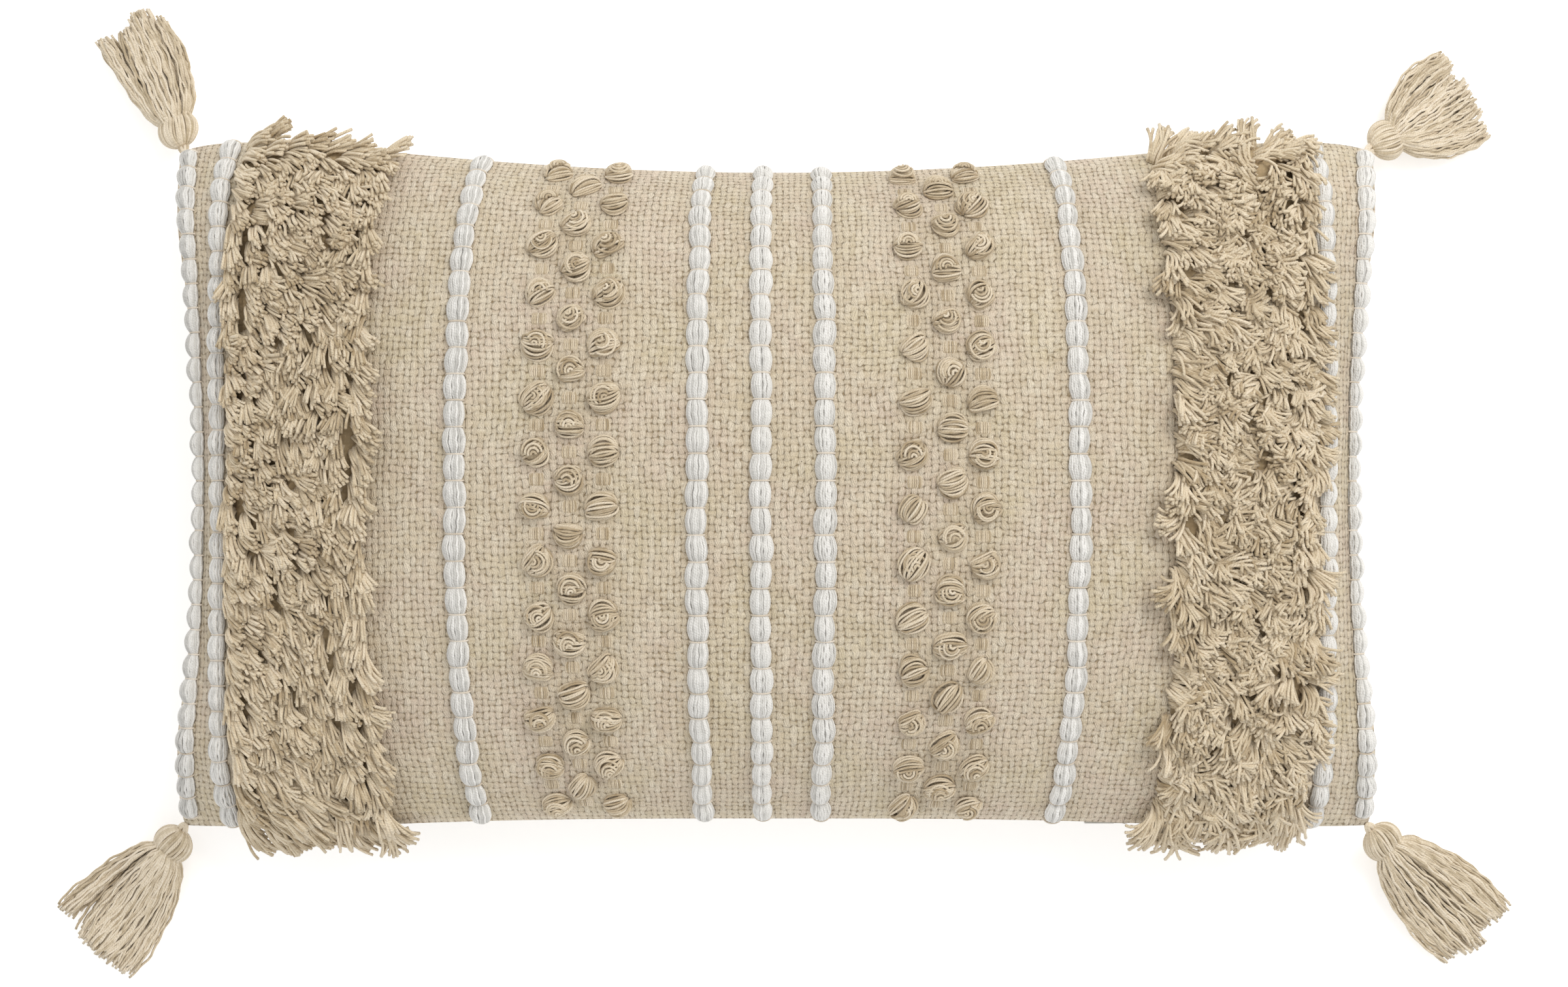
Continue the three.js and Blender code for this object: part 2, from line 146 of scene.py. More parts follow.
# Tassels, as in the part, with the number of locks that each one's strands fall in.
TASSELS = {
    "upper_left": {"x": -295, "y": 164.8, "heading": 114, "length": 76, "half_width": 18.5, "locks": 4},
    "upper_right": {"x": 295, "y": 164.8, "heading": 30, "length": 64, "half_width": 25, "locks": 5},
    "lower_left": {"x": -295, "y": -171.8, "heading": 232, "length": 85, "half_width": 23, "locks": 5},
    "lower_right": {"x": 295, "y": -171.8, "heading": 316, "length": 87, "half_width": 23, "locks": 4},
}
NECK_R = 7
REST_Z = 6.6  # where it lies flat
DROOP = 22  # how soon it gets there

# A tassel's parts, at distances from its corner.
HEAD_FROM = 2.6
HEAD_TO = 20.6
HEAD_MIDDLE = 12.6
HEAD_HALF = 9.8
HEAD_R = 9.7
HEAD_YARNS = 60
HEAD_YARN_R = 0.64
BINDING_FROM = 20.9
BINDING_TO = 23.5
BINDING_TURNS = 4
BINDING_YARN_R = 0.62
LOOP_YARN_R = 0.95
SKIRT_FROM = 16.5
SKIRT_STRANDS = 320
SKIRT_YARN_R = 0.66
LOWEST_Z = 1.2

# The weave's pitch: warps lie side by side along X, wefts along Y.
WARP_PITCH = 3.2
WEFT_PITCH = 3.35

rng = np.random.default_rng(24)


# ---- Small helpers ----


def mix(a, b, t):
    return a + (b - a) * t


def smooth(a, b, x):
    t = np.clip((x - a) / (b - a), 0, 1)
    return t * t * (3 - 2 * t)


def unit(vectors):
    return vectors / np.maximum(np.linalg.norm(vectors, axis=-1, keepdims=True), 1e-9)


def spread(size, shape=None):
    """Random numbers between -size and size."""
    return rng.uniform(-size, size, shape)


def steered(x, y, forward, aside, heading):
    """Places after a step forward along a heading and a step aside to its left."""
    there_x = x + forward * np.cos(heading) - aside * np.sin(heading)
    there_y = y + forward * np.sin(heading) + aside * np.cos(heading)
    return there_x, there_y


def srgb(red, green, blue):
    """A linear colour from 8-bit sRGB numbers."""
    c = np.array([red, green, blue]) / 255
    linear = np.where(c <= 0.04045, c / 12.92, ((c + 0.055) / 1.055) ** 2.4)
    return (*linear, 1)


# ---- The stuffed shape. u and v run from -1 to 1 over the flat cloth. ----


def plan_x(u, v):
    across = (SIDE_X / (1 - SIDE_EASE)) * u * (1 - SIDE_EASE * np.abs(u) ** 12)
    seam = CORNER_X * u * (1 - CORNER_EASE * (1 - u * u))
    square = mix(across, seam, np.abs(v) ** (3 - 1.4 * np.abs(u) ** 6))
    return square - u * (CORNER_X - TIP_X) * np.abs(u * v) ** TIP_SHARPNESS


def plan_y(u, v):
    chord = np.where(v < 0, LOWER_Y, UPPER_Y)
    bow = np.where(v < 0, 3, 2)
    along = FLAT_Y * v * (1 - (1 - chord / FLAT_Y) * np.abs(v) ** 3.6)
    tip = np.where(v < 0, LOWER_TIP_Y, UPPER_TIP_Y)
    square = mix(along, CORNER_Y * v, np.abs(u) ** bow)
    return square - v * (CORNER_Y - tip) * np.abs(u * v) ** TIP_SHARPNESS


def seam_z(x, y):
    return mix(SEAM_Z, CORNER_Z, smooth(0.64, 1, np.abs(x * y) / (CORNER_X * CORNER_Y)))


def puff(u, v):
    """How full the pillow is, from 0 at the seams to 1 in the middle."""
    tx = np.clip(np.abs(plan_x(u, v) / plan_x(np.ones_like(u), v)), 0, 1)
    ty = np.clip(np.abs(plan_y(u, v) / plan_y(u, np.where(v < 0, -1.0, 1.0))), 0, 1)
    return (1 - tx**2.5) ** 0.6 * (1 - ty**2.2) ** 0.62


def seam_gap(u, v):
    """Half of the gap between the panels' rims. It opens to the slot along the zipper."""
    along = 1 - smooth(0.68, 0.76, np.abs(u))
    return mix(SEAM_GAP, ZIP_SLOT, along * (1 - smooth(-1, -0.9, v)))


def pillow_points(u, v, side):
    """Points of the cover's outside, on the face (side 1) or the back (side -1)."""
    x = plan_x(u, v)
    y = plan_y(u, v)
    rim = seam_z(x, y) + side * (seam_gap(u, v) + CLOTH)
    rise = puff(u, v)
    if side > 0:
        return np.stack([x, y, rim + CROWN * rise], axis=-1)
    pressed = np.clip(BELLY * rise / SEAM_Z, 0, 1)
    return np.stack([x, y, rim * (1 - pressed) ** 1.3], axis=-1)


def finer(grid, axis):
    """The grid with a point added between each two along an axis, on a smooth curve."""
    g = np.moveaxis(grid, axis, 0)
    before = 2 * g[0] - g[1]
    after = 2 * g[-1] - g[-2]
    padded = np.concatenate([before[None], g, after[None]])
    between = (9 * (padded[1:-2] + padded[2:-1]) - padded[:-3] - padded[3:]) / 16
    out = np.empty((2 * len(g) - 1,) + g.shape[1:])
    out[::2] = g
    out[1::2] = between
    return np.moveaxis(out, 0, axis)


def flat_grid(half_x, half_y, rows, columns):
    """Even places over a rectangle, with rows along X and columns along Y."""
    x = np.linspace(-half_x, half_x, rows)
    y = np.linspace(-half_y, half_y, columns)
    return np.meshgrid(x, y, indexing="ij")


class Panel:
    """One side of the cover: a grid of points, evenly spaced on the flat cloth."""

    def __init__(self, side, cells_u=122, cells_v=72):
        u, v = flat_grid(1, 1, cells_u + 1, cells_v + 1)
        self.side = side
        self.set_grid(pillow_points(u, v, side))

    def set_grid(self, grid):
        self.grid = grid
        along = np.gradient(grid, axis=0)
        across = np.gradient(grid, axis=1)
        self.along = unit(along)
        self.across = unit(across)
        self.normal = unit(np.cross(along, across)) * self.side

    def refine(self):
        self.set_grid(finer(finer(self.grid, 0), 1))

    def look_up(self, values, u, v):
        """Values given at the grid's points, between those points."""
        last_u, last_v = values.shape[0] - 1, values.shape[1] - 1
        fu = (np.clip(u, -1, 1) + 1) / 2 * last_u
        fv = (np.clip(v, -1, 1) + 1) / 2 * last_v
        i = np.minimum(fu.astype(int), last_u - 1)
        j = np.minimum(fv.astype(int), last_v - 1)
        s = (fu - i)[..., None]
        t = (fv - j)[..., None]
        lower = mix(values[i, j], values[i + 1, j], s)
        upper = mix(values[i, j + 1], values[i + 1, j + 1], s)
        return mix(lower, upper, t)

    def at(self, a, b, height):
        """Points at a height over the cloth. Past the cloth's edge they go straight on."""
        a, b, height = np.broadcast_arrays(np.asarray(a, float), b, height)
        u, v = a / FLAT_X, b / FLAT_Y
        past_a = (u - np.clip(u, -1, 1)) * FLAT_X
        past_b = (v - np.clip(v, -1, 1)) * FLAT_Y
        points = self.look_up(self.grid, u, v)
        points = points + self.look_up(self.along, u, v) * past_a[..., None]
        points = points + self.look_up(self.across, u, v) * past_b[..., None]
        return points + unit(self.look_up(self.normal, u, v)) * height[..., None]


# ---- Cloth simulation ----


def grid_faces(rows, columns):
    """The faces between the points of a grid."""
    index = np.arange(rows * columns).reshape(rows, columns)
    corners = [index[:-1, :-1], index[1:, :-1], index[1:, 1:], index[:-1, 1:]]
    return np.stack(corners, axis=-1).reshape(-1, 4)


def cloth_settings(modifier, pressure, pin, rest):
    """A stiff woven cloth, filled from inside and held at a group's vertices."""
    settings = modifier.settings
    settings.quality = 8
    settings.mass = 0.4
    settings.tension_stiffness = 20
    settings.compression_stiffness = 20
    settings.shear_stiffness = 8
    settings.bending_stiffness = 8
    settings.air_damping = 4
    settings.use_pressure = True
    settings.uniform_pressure_force = pressure
    settings.vertex_group_mass = pin.name
    settings.rest_shape_key = rest
    settings.effector_weights.gravity = 0
    modifier.collision_settings.use_collision = False
    modifier.collision_settings.use_self_collision = False


def relax(panel, pressure, furthest):
    """Lets the panel settle as cloth cut to its flat size, sewn down at its rim and filled from inside.

    No point moves further than furthest.
    """
    rows, columns = panel.grid.shape[:2]
    mesh = bpy.data.meshes.new("relaxing")
    faces = grid_faces(rows, columns)
    mesh.from_pydata((panel.grid.reshape(-1, 3) * MM).tolist(), [], faces[:, :: panel.side].tolist())
    obj = bpy.data.objects.new("relaxing", mesh)
    bpy.context.scene.collection.objects.link(obj)

    obj.shape_key_add(name="stuffed")
    flat = obj.shape_key_add(name="flat")
    a, b = flat_grid(FLAT_X, FLAT_Y, rows, columns)
    flat_points = np.stack([a, b, np.zeros_like(a)], axis=-1) * MM
    flat.data.foreach_set("co", flat_points.astype(np.float32).ravel())

    rim = np.zeros((rows, columns), bool)
    rim[[0, -1], :] = True
    rim[:, [0, -1]] = True
    pin = obj.vertex_groups.new(name="rim")
    pin.add(np.flatnonzero(rim.ravel()).tolist(), 1.0, "REPLACE")
    cloth_settings(obj.modifiers.new("Cloth", "CLOTH"), pressure, pin, flat)

    scene = bpy.context.scene
    for frame in range(1, SETTLING_FRAMES + 1):
        scene.frame_set(frame)
    settled = obj.evaluated_get(bpy.context.evaluated_depsgraph_get()).to_mesh()
    points = np.empty(rows * columns * 3, np.float32)
    settled.vertices.foreach_get("co", points)
    moved = points.reshape(rows, columns, 3) / MM - panel.grid
    distance = np.linalg.norm(moved, axis=-1, keepdims=True)
    moved *= np.tanh(distance / furthest) * furthest / np.maximum(distance, 1e-6)
    bpy.data.objects.remove(obj)
    scene.frame_set(1)
    grid = panel.grid + moved
    grid[..., 2] = np.maximum(grid[..., 2], 0)
    panel.set_grid(grid)


# ---- Materials ----


class Nodes:
    """A short way to write a material's nodes.

    An input is a number, a colour or another node's output.
    """

    def __init__(self, name):
        self.material = bpy.data.materials.new(name)
        self.material.use_nodes = True
        self.tree = self.material.node_tree
        self.tree.nodes.clear()

    def add(self, kind, inputs=None, **settings):
        node = self.tree.nodes.new("ShaderNode" + kind)
        for key, value in settings.items():
            setattr(node, key, value)
        for key, value in (inputs or {}).items():
            if isinstance(value, bpy.types.NodeSocket):
                self.tree.links.new(value, node.inputs[key])
            else:
                node.inputs[key].default_value = value
        return node

    def math(self, operation, *values):
        return self.add("Math", dict(enumerate(values)), operation=operation).outputs[0]

    def scaled(self, vector, x, y):
        return self.add("VectorMath", {0: vector, 1: (x, y, 1)}, operation="MULTIPLY").outputs[0]

    def noise(self, vector, scale, detail=2):
        return self.add("TexNoise", {"Vector": vector, "Scale": scale, "Detail": detail}).outputs[0]

    def ramp(self, value, low, high, to_low=0.0, to_high=1.0):
        inputs = {"Value": value, "From Min": low, "From Max": high, "To Min": to_low, "To Max": to_high}
        return self.add("MapRange", inputs).outputs[0]

    def blend(self, share, first, second):
        return self.add("Mix", {0: share, 6: first, 7: second}, data_type="RGBA").outputs[2]

    def bump(self, height, distance, strength=1.0):
        inputs = {"Height": height, "Distance": distance * MM, "Strength": strength}
        return self.add("Bump", inputs).outputs[0]

    def swayed(self, place, source, scale, detail, reach):
        """A place moved about by noise at the source, by up to half of the reach along X and Y."""
        noise = self.add("TexNoise", {"Vector": source, "Scale": scale, "Detail": detail}).outputs[1]
        inputs = {0: noise, 1: (0.5, 0.5, 0.5)}
        centred = self.add("VectorMath", inputs, operation="SUBTRACT").outputs[0]
        inputs = {0: centred, 1: (*reach, 0.0), 2: place}
        return self.add("VectorMath", inputs, operation="MULTIPLY_ADD").outputs[0]

    def finish(self, **inputs):
        named = {key.replace("_", " "): value for key, value in inputs.items()}
        shader = self.add("BsdfPrincipled", named)
        self.add("OutputMaterial", {"Surface": shader.outputs[0]})
        return self.material


def over_and_under(n, yarn, other, along, phase):
    """How high a yarn stands where it goes over every second crossing, and random numbers for each.

    yarn runs from 0 to 1 across the yarn, other is its number, and along counts the yarns it crosses.
    """
    flatness = 2.4
    reach = 0.74
    half = n.math("MULTIPLY", n.math("ADD", n.math("ADD", along, other), phase), 0.5)
    crossing = n.math("FLOOR", half)
    off_along = n.math("ABSOLUTE", n.math("MULTIPLY_ADD", n.math("FRACT", half), 2.0, -1.0))
    off_side = n.math("ABSOLUTE", n.math("MULTIPLY_ADD", yarn, 2.0, -1.0))
    reached = n.math("POWER", n.math("DIVIDE", off_along, reach), flatness)
    off = n.math("ADD", n.math("POWER", off_side, flatness), reached)
    place = n.add("CombineXYZ", {0: other, 1: crossing, 2: phase}).outputs[0]
    chance = n.add("TexWhiteNoise", {"Vector": place}, noise_dimensions="3D")
    size = n.ramp(chance.outputs[0], 0, 1, 0.8, 1.3)
    return n.math("SQRT", n.math("MAXIMUM", n.math("SUBTRACT", size, off), 0.0)), chance


def weave_material(name, base, warm, pale, shade):
    """Slubby plain weave. Its UV map holds places on the flat cloth, in millimetres."""
    n = Nodes(name)
    flat = n.add("UVMap", uv_map="flat").outputs[0]
    place = n.swayed(flat, flat, 0.02, 2.0, (7.0, 8.0))
    place = n.swayed(place, flat, 0.24, 1.0, (2.6, 3.2))
    xyz = n.add("SeparateXYZ", {0: place})
    across = n.math("DIVIDE", xyz.outputs[0], WARP_PITCH)
    up = n.math("DIVIDE", xyz.outputs[1], WEFT_PITCH)
    fx = n.math("FRACT", across)
    fy = n.math("FRACT", up)

    # Warps stand higher than wefts and show their plies. Fibres and fuzz cover both.
    warp, chance = over_and_under(n, fx, n.math("FLOOR", across), up, 0.5)
    weft, _ = over_and_under(n, fy, n.math("FLOOR", up), across, -0.5)
    weave = n.math("MAXIMUM", warp, n.math("MULTIPLY", weft, 0.7))
    random = n.add("SeparateColor", {0: chance.outputs[1]})
    slant = n.math("MULTIPLY_ADD", fy, n.ramp(random.outputs[0], 0, 1, -0.5, 0.5), fx)
    plies = n.math("ABSOLUTE", n.math("SINE", n.math("MULTIPLY", slant, 3 * np.pi)))
    fibres = n.noise(n.scaled(place, 3.0, 0.7), 1.0, 2)
    fuzz = n.noise(flat, 2.4, 3)
    height = n.math("MULTIPLY_ADD", n.math("MULTIPLY", plies, warp), 0.22, weave)
    height = n.math("MULTIPLY_ADD", fibres, 0.4, height)
    height = n.math("MULTIPLY_ADD", fuzz, 0.4, height)
    height = n.math("MULTIPLY_ADD", n.noise(flat, 0.035, 2), 1.2, height)

    # Large patches, slubs and single pale crossings.
    patches = n.noise(flat, 0.022, 3)
    colour = n.blend(n.ramp(patches, 0.38, 0.62), base, warm)
    slubs_across = n.noise(n.scaled(flat, 0.03, 0.5), 1.0, 2)
    slubs_along = n.noise(n.scaled(flat, 0.45, 0.03), 1.0, 2)
    slubs = n.math("ADD", slubs_across, slubs_along)
    colour = n.blend(n.ramp(slubs, 0.85, 1.2, 0.0, 0.5), colour, pale)
    colour = n.blend(n.ramp(random.outputs[1], 0.5, 1.0, 0.0, 0.6), colour, pale)

    # Shade between the yarns, between their plies and in the fuzz.
    depth = n.math("MULTIPLY_ADD", n.math("ADD", fibres, fuzz), 0.4, weave)
    colour = n.blend(n.ramp(depth, 0.3, 1.15, 0.95, 0.0), colour, shade)
    grooves = n.ramp(n.math("ADD", plies, fibres), 0.35, 1.0, 0.35, 0.0)
    colour = n.blend(grooves, colour, shade)
    colour = n.blend(n.ramp(fuzz, 0.32, 0.48, 0.45, 0.0), colour, shade)

    # A few specks of seed husk.
    seeds = n.add("TexVoronoi", {"Vector": n.scaled(flat, 1.0, 0.8), "Scale": 0.16})
    near = n.ramp(seeds.outputs[0], 0.03, 0.06, 1.0, 0.0)
    rare = n.math("GREATER_THAN", n.add("SeparateColor", {0: seeds.outputs[1]}).outputs[0], 0.7)
    speck = n.math("MULTIPLY", n.math("MULTIPLY", near, rare), 0.75)
    colour = n.blend(speck, colour, srgb(84, 66, 46))
    return n.finish(
        Base_Color=colour, Normal=n.bump(height, 1.1), Roughness=0.92, Sheen_Weight=0.12,
        Sheen_Roughness=0.6, Specular_IOR_Level=0.15,
    )


def yarn_material(name, dark, middle, light, pitch=3.0, fibre=0.9, groove_shade=0.2, relief=0.17):
    """Two-ply yarn. Its UV map holds the turn round the yarn and millimetres along it."""
    n = Nodes(name)
    turn = n.add("SeparateXYZ", {0: n.add("UVMap", uv_map="yarn").outputs[0]})
    phase = n.math("MULTIPLY_ADD", turn.outputs[1], 1 / pitch, turn.outputs[0])
    plies = n.math("ABSOLUTE", n.math("SINE", n.math("MULTIPLY", phase, 2 * np.pi)))
    plies = n.math("POWER", plies, 0.6)
    place = n.add("TexCoord").outputs["Object"]
    fluff = n.noise(place, 1400, 3)
    round_yarn = n.math("MULTIPLY", phase, 9.0)
    along_yarn = n.math("MULTIPLY", turn.outputs[1], 0.5)
    strands = n.noise(n.add("CombineXYZ", {0: round_yarn, 1: along_yarn}).outputs[0], 1.0, 2)
    height = n.math("MULTIPLY_ADD", fluff, fibre, plies)
    height = n.math("MULTIPLY_ADD", strands, fibre, height)

    tint = n.add("Attribute", attribute_name="tint").outputs["Fac"]
    streaks = n.noise(place, 260, 2)
    tone = n.math("ADD", n.math("MULTIPLY", tint, 0.5), n.math("MULTIPLY", streaks, 0.5))
    colour = n.blend(n.ramp(tone, 0.2, 0.5), dark, middle)
    colour = n.blend(n.ramp(tone, 0.5, 0.8), colour, light)
    # Painted shade in the grooves between the plies and in the hollows of the fluff.
    colour = n.blend(n.ramp(plies, 0.15, 0.75, groove_shade, 0.0), colour, dark)
    colour = n.blend(n.ramp(fluff, 0.3, 0.5, 0.4, 0.0), colour, dark)
    return n.finish(
        Base_Color=colour, Normal=n.bump(height, relief), Roughness=0.9, Sheen_Weight=0.2,
        Sheen_Roughness=0.5, Specular_IOR_Level=0.12,
    )


def plain_cloth_material(name, base, shade, threads):
    """Fine plain cloth, by its place in space. More threads make it finer."""
    n = Nodes(name)
    place = n.add("TexCoord").outputs["Object"]
    inputs = {"Vector": place, "Scale": 160.0 * threads, "Distortion": 1.5}
    warp = n.add("TexWave", inputs, bands_direction="X")
    weft = n.add("TexWave", inputs, bands_direction="Y")
    height = n.math("MULTIPLY", warp.outputs[1], weft.outputs[1])
    mottle = n.noise(place, 60, 3)
    colour = n.blend(n.ramp(mottle, 0.35, 0.65, 0.0, 0.5), base, shade)
    # Painted shade between the threads.
    colour = n.blend(n.ramp(height, 0.0, 0.5, 0.35, 0.0), colour, shade)
    relief = n.bump(height, 0.15)
    return n.finish(Base_Color=colour, Normal=relief, Roughness=0.85, Specular_IOR_Level=0.2)


def solid_material(name, base, shade, roughness, metallic=0.0):
    """Metal or nylon with a fine grain and slight wear."""
    n = Nodes(name)
    place = n.add("TexCoord").outputs["Object"]
    speckle = n.noise(place, 900, 3)
    wear = n.noise(place, 120, 3)
    colour = n.blend(n.ramp(wear, 0.35, 0.65, 0.0, 0.6), base, shade)
    rough = n.ramp(speckle, 0.2, 0.8, roughness - 0.08, roughness + 0.12)
    relief = n.bump(speckle, 0.03, 0.5)
    return n.finish(Base_Color=colour, Roughness=rough, Metallic=metallic, Normal=relief)


def floor_material():
    n = Nodes("floor_paint")
    place = n.add("TexCoord").outputs["Object"]
    colour = n.blend(n.noise(place, 3, 2), srgb(246, 246, 246), srgb(249, 249, 249))
    return n.finish(
        Base_Color=colour, Roughness=0.95, Specular_IOR_Level=0.0,
        Emission_Color=(1, 1, 1, 1), Emission_Strength=0.35,
    )


# ---- Meshes ----


def mesh_object(name, points, polygons, material, body=None, uv=None, uv_name="yarn", tint=None):
    """An object from points in mm and arrays of faces. Each array's faces have one number of corners."""
    mesh = bpy.data.meshes.new(name)
    corners = np.concatenate([faces.ravel() for faces in polygons]).astype(np.int32)
    sizes = np.concatenate([np.full(len(faces), faces.shape[1]) for faces in polygons])
    starts = np.concatenate([[0], np.cumsum(sizes)[:-1]]).astype(np.int32)
    mesh.vertices.add(len(points))
    mesh.vertices.foreach_set("co", (points * MM).astype(np.float32).ravel())
    mesh.loops.add(len(corners))
    mesh.loops.foreach_set("vertex_index", corners)
    mesh.polygons.add(len(sizes))
    mesh.polygons.foreach_set("loop_start", starts)
    mesh.update(calc_edges=True)
    mesh.polygons.foreach_set("use_smooth", np.ones(len(sizes), bool))
    if uv is not None:
        layer = mesh.uv_layers.new(name=uv_name)
        layer.uv.foreach_set("vector", uv.astype(np.float32).ravel())
    if tint is not None:
        attribute = mesh.attributes.new("tint", "FLOAT", "POINT")
        attribute.data.foreach_set("value", tint.astype(np.float32).ravel())
    mesh.validate()
    mesh.materials.append(material)
    obj = bpy.data.objects.new(name, mesh)
    bpy.context.scene.collection.objects.link(obj)
    if body:
        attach(obj, body)
    return obj


def yarns(name, paths, radius, material, body, sides=6, tint=None):
    """One object made of many yarns. paths is an array of (yarns, points, xyz).

    Each yarn's cross-section is carried along it without twisting.
    """
    count, points = paths.shape[:2]
    radius = np.broadcast_to(radius, (count, points))
    if tint is None:
        tint = rng.random(count)
    tangent = unit(np.gradient(paths, axis=1))
    away = np.where(np.abs(tangent[:, 0, 2:3]) < 0.8, [[0.0, 0.0, 1.0]], [[0.0, 1.0, 0.0]])
    normal = np.empty_like(paths)
    normal[:, 0] = unit(np.cross(tangent[:, 0], away))
    for k in range(1, points):
        carried = normal[:, k - 1]
        lean = np.sum(carried * tangent[:, k], axis=-1, keepdims=True)
        normal[:, k] = unit(carried - tangent[:, k] * lean)
    binormal = np.cross(tangent, normal)

    angle = 2 * np.pi * np.arange(sides) / sides
    ring = normal[:, :, None] * np.cos(angle)[:, None]
    ring = ring + binormal[:, :, None] * np.sin(angle)[:, None]
    vertices = paths[:, :, None] + ring * radius[:, :, None, None]

    index = np.arange(count * points * sides).reshape(count, points, sides)
    turned = np.roll(index, -1, axis=2)
    quads = np.stack([index[:, :-1], turned[:, :-1], turned[:, 1:], index[:, 1:]], axis=-1)
    ends = np.concatenate([index[:, 0, ::-1], index[:, -1]])

    steps = np.diff(paths, axis=1, prepend=paths[:, :1])
    length = np.cumsum(np.linalg.norm(steps, axis=-1), axis=1)
    here = np.broadcast_to(np.arange(sides) / sides, (count, points - 1, sides))
    near = np.broadcast_to(length[:, :-1, None], here.shape)
    far = np.broadcast_to(length[:, 1:, None], here.shape)
    step = 1 / sides
    quad_uv = np.stack([here, near, here + step, near, here + step, far, here, far], axis=-1)
    uv = np.concatenate([quad_uv.reshape(-1, 2), np.zeros((ends.size, 2))])
    per_point = np.broadcast_to(np.asarray(tint)[:, None, None], (count, points, sides))
    faces = [quads.reshape(-1, 4), ends]
    return mesh_object(name, vertices.reshape(-1, 3), faces, material, body, uv, tint=per_point)


def sheet(name, points, material, body, turn=1):
    """One object from a grid of points. turn is -1 where the grid's faces have to be turned over."""
    faces = grid_faces(*points.shape[:2])[:, ::turn]
    return mesh_object(name, points.reshape(-1, 3), [faces], material, body)


# ---- Cover and insert ----


def perimeter(rows, columns):
    """The grid's border, as row and column numbers, once round."""
    last_i, last_j = rows - 1, columns - 1
    up_i, up_j = np.arange(last_i), np.arange(last_j)
    down_i, down_j = np.arange(last_i, 0, -1), np.arange(last_j, 0, -1)
    i = np.concatenate([up_i, np.full(last_j, last_i), down_i, np.zeros(last_j, int)])
    j = np.concatenate([np.zeros(last_i, int), up_j, np.full(last_i, last_j), down_j])
    return i, j


def cover_panel(name, panel, node, material):
    """A panel of the cover. Past its rim, the cloth turns in to the seam."""
    rows, columns = panel.grid.shape[:2]
    side = panel.side
    flat = np.stack(flat_grid(FLAT_X, FLAT_Y, rows, columns), axis=-1).reshape(-1, 2)
    i, j = perimeter(rows, columns)
    rim = panel.grid[i, j]
    points = [panel.grid.reshape(-1, 3)]
    flats = [flat]
    faces = [grid_faces(rows, columns)[:, ::side]]
    previous = i * columns + j
    total = rows * columns
    for inset, drop in [(0.5, 0.8), (1.6, 1.4), (5.0, 1.5)]:
        turned = rim * [1 - inset / CORNER_X, 1 - inset / CORNER_Y, 1]
        turned[:, 2] -= side * drop
        points.append(turned)
        flats.append(flat[i * columns + j] * (1 + inset / FLAT_X))
        ring = total + np.arange(len(i))
        total += len(i)
        quads = np.stack([previous, ring, np.roll(ring, -1), np.roll(previous, -1)], axis=-1)
        faces.append(quads[:, ::side])
        previous = ring
    uv_points = np.concatenate(flats)
    uv = np.concatenate([uv_points[f.ravel()] for f in faces])
    obj = mesh_object(name, np.concatenate(points), faces, material, "cover", uv, "flat")
    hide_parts(node)


def inner_cushion(name, panels, depth, reach, nodes, material):
    """A closed cushion that follows the cover's inside at a depth and closes at its own rim."""
    s, t = flat_grid(1, 1, 61, 41)
    corner = 0.08
    a = FLAT_X * reach[0] * s * (1 - corner * t**4)
    b = FLAT_Y * reach[1] * t * (1 - corner * s**4)
    shrink = np.sqrt(np.clip((1 - s**6) * (1 - t**6), 0, 1))
    skins = [panel.at(a, b, -depth) for panel in panels]
    middle = seam_z(skins[0][..., 0], skins[0][..., 1])
    for skin, panel in zip(skins, panels):
        skin[..., :2] = skins[0][..., :2]
        skin[..., 2] = mix(middle, skin[..., 2], shrink)
    count = s.size
    faces = grid_faces(*s.shape)
    points = np.concatenate([skin.reshape(-1, 3) for skin in skins])
    obj = mesh_object(name, points, [faces, faces[:, ::-1] + count], material, "cover")
    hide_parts(*nodes)


# ---- Trims on the face ----


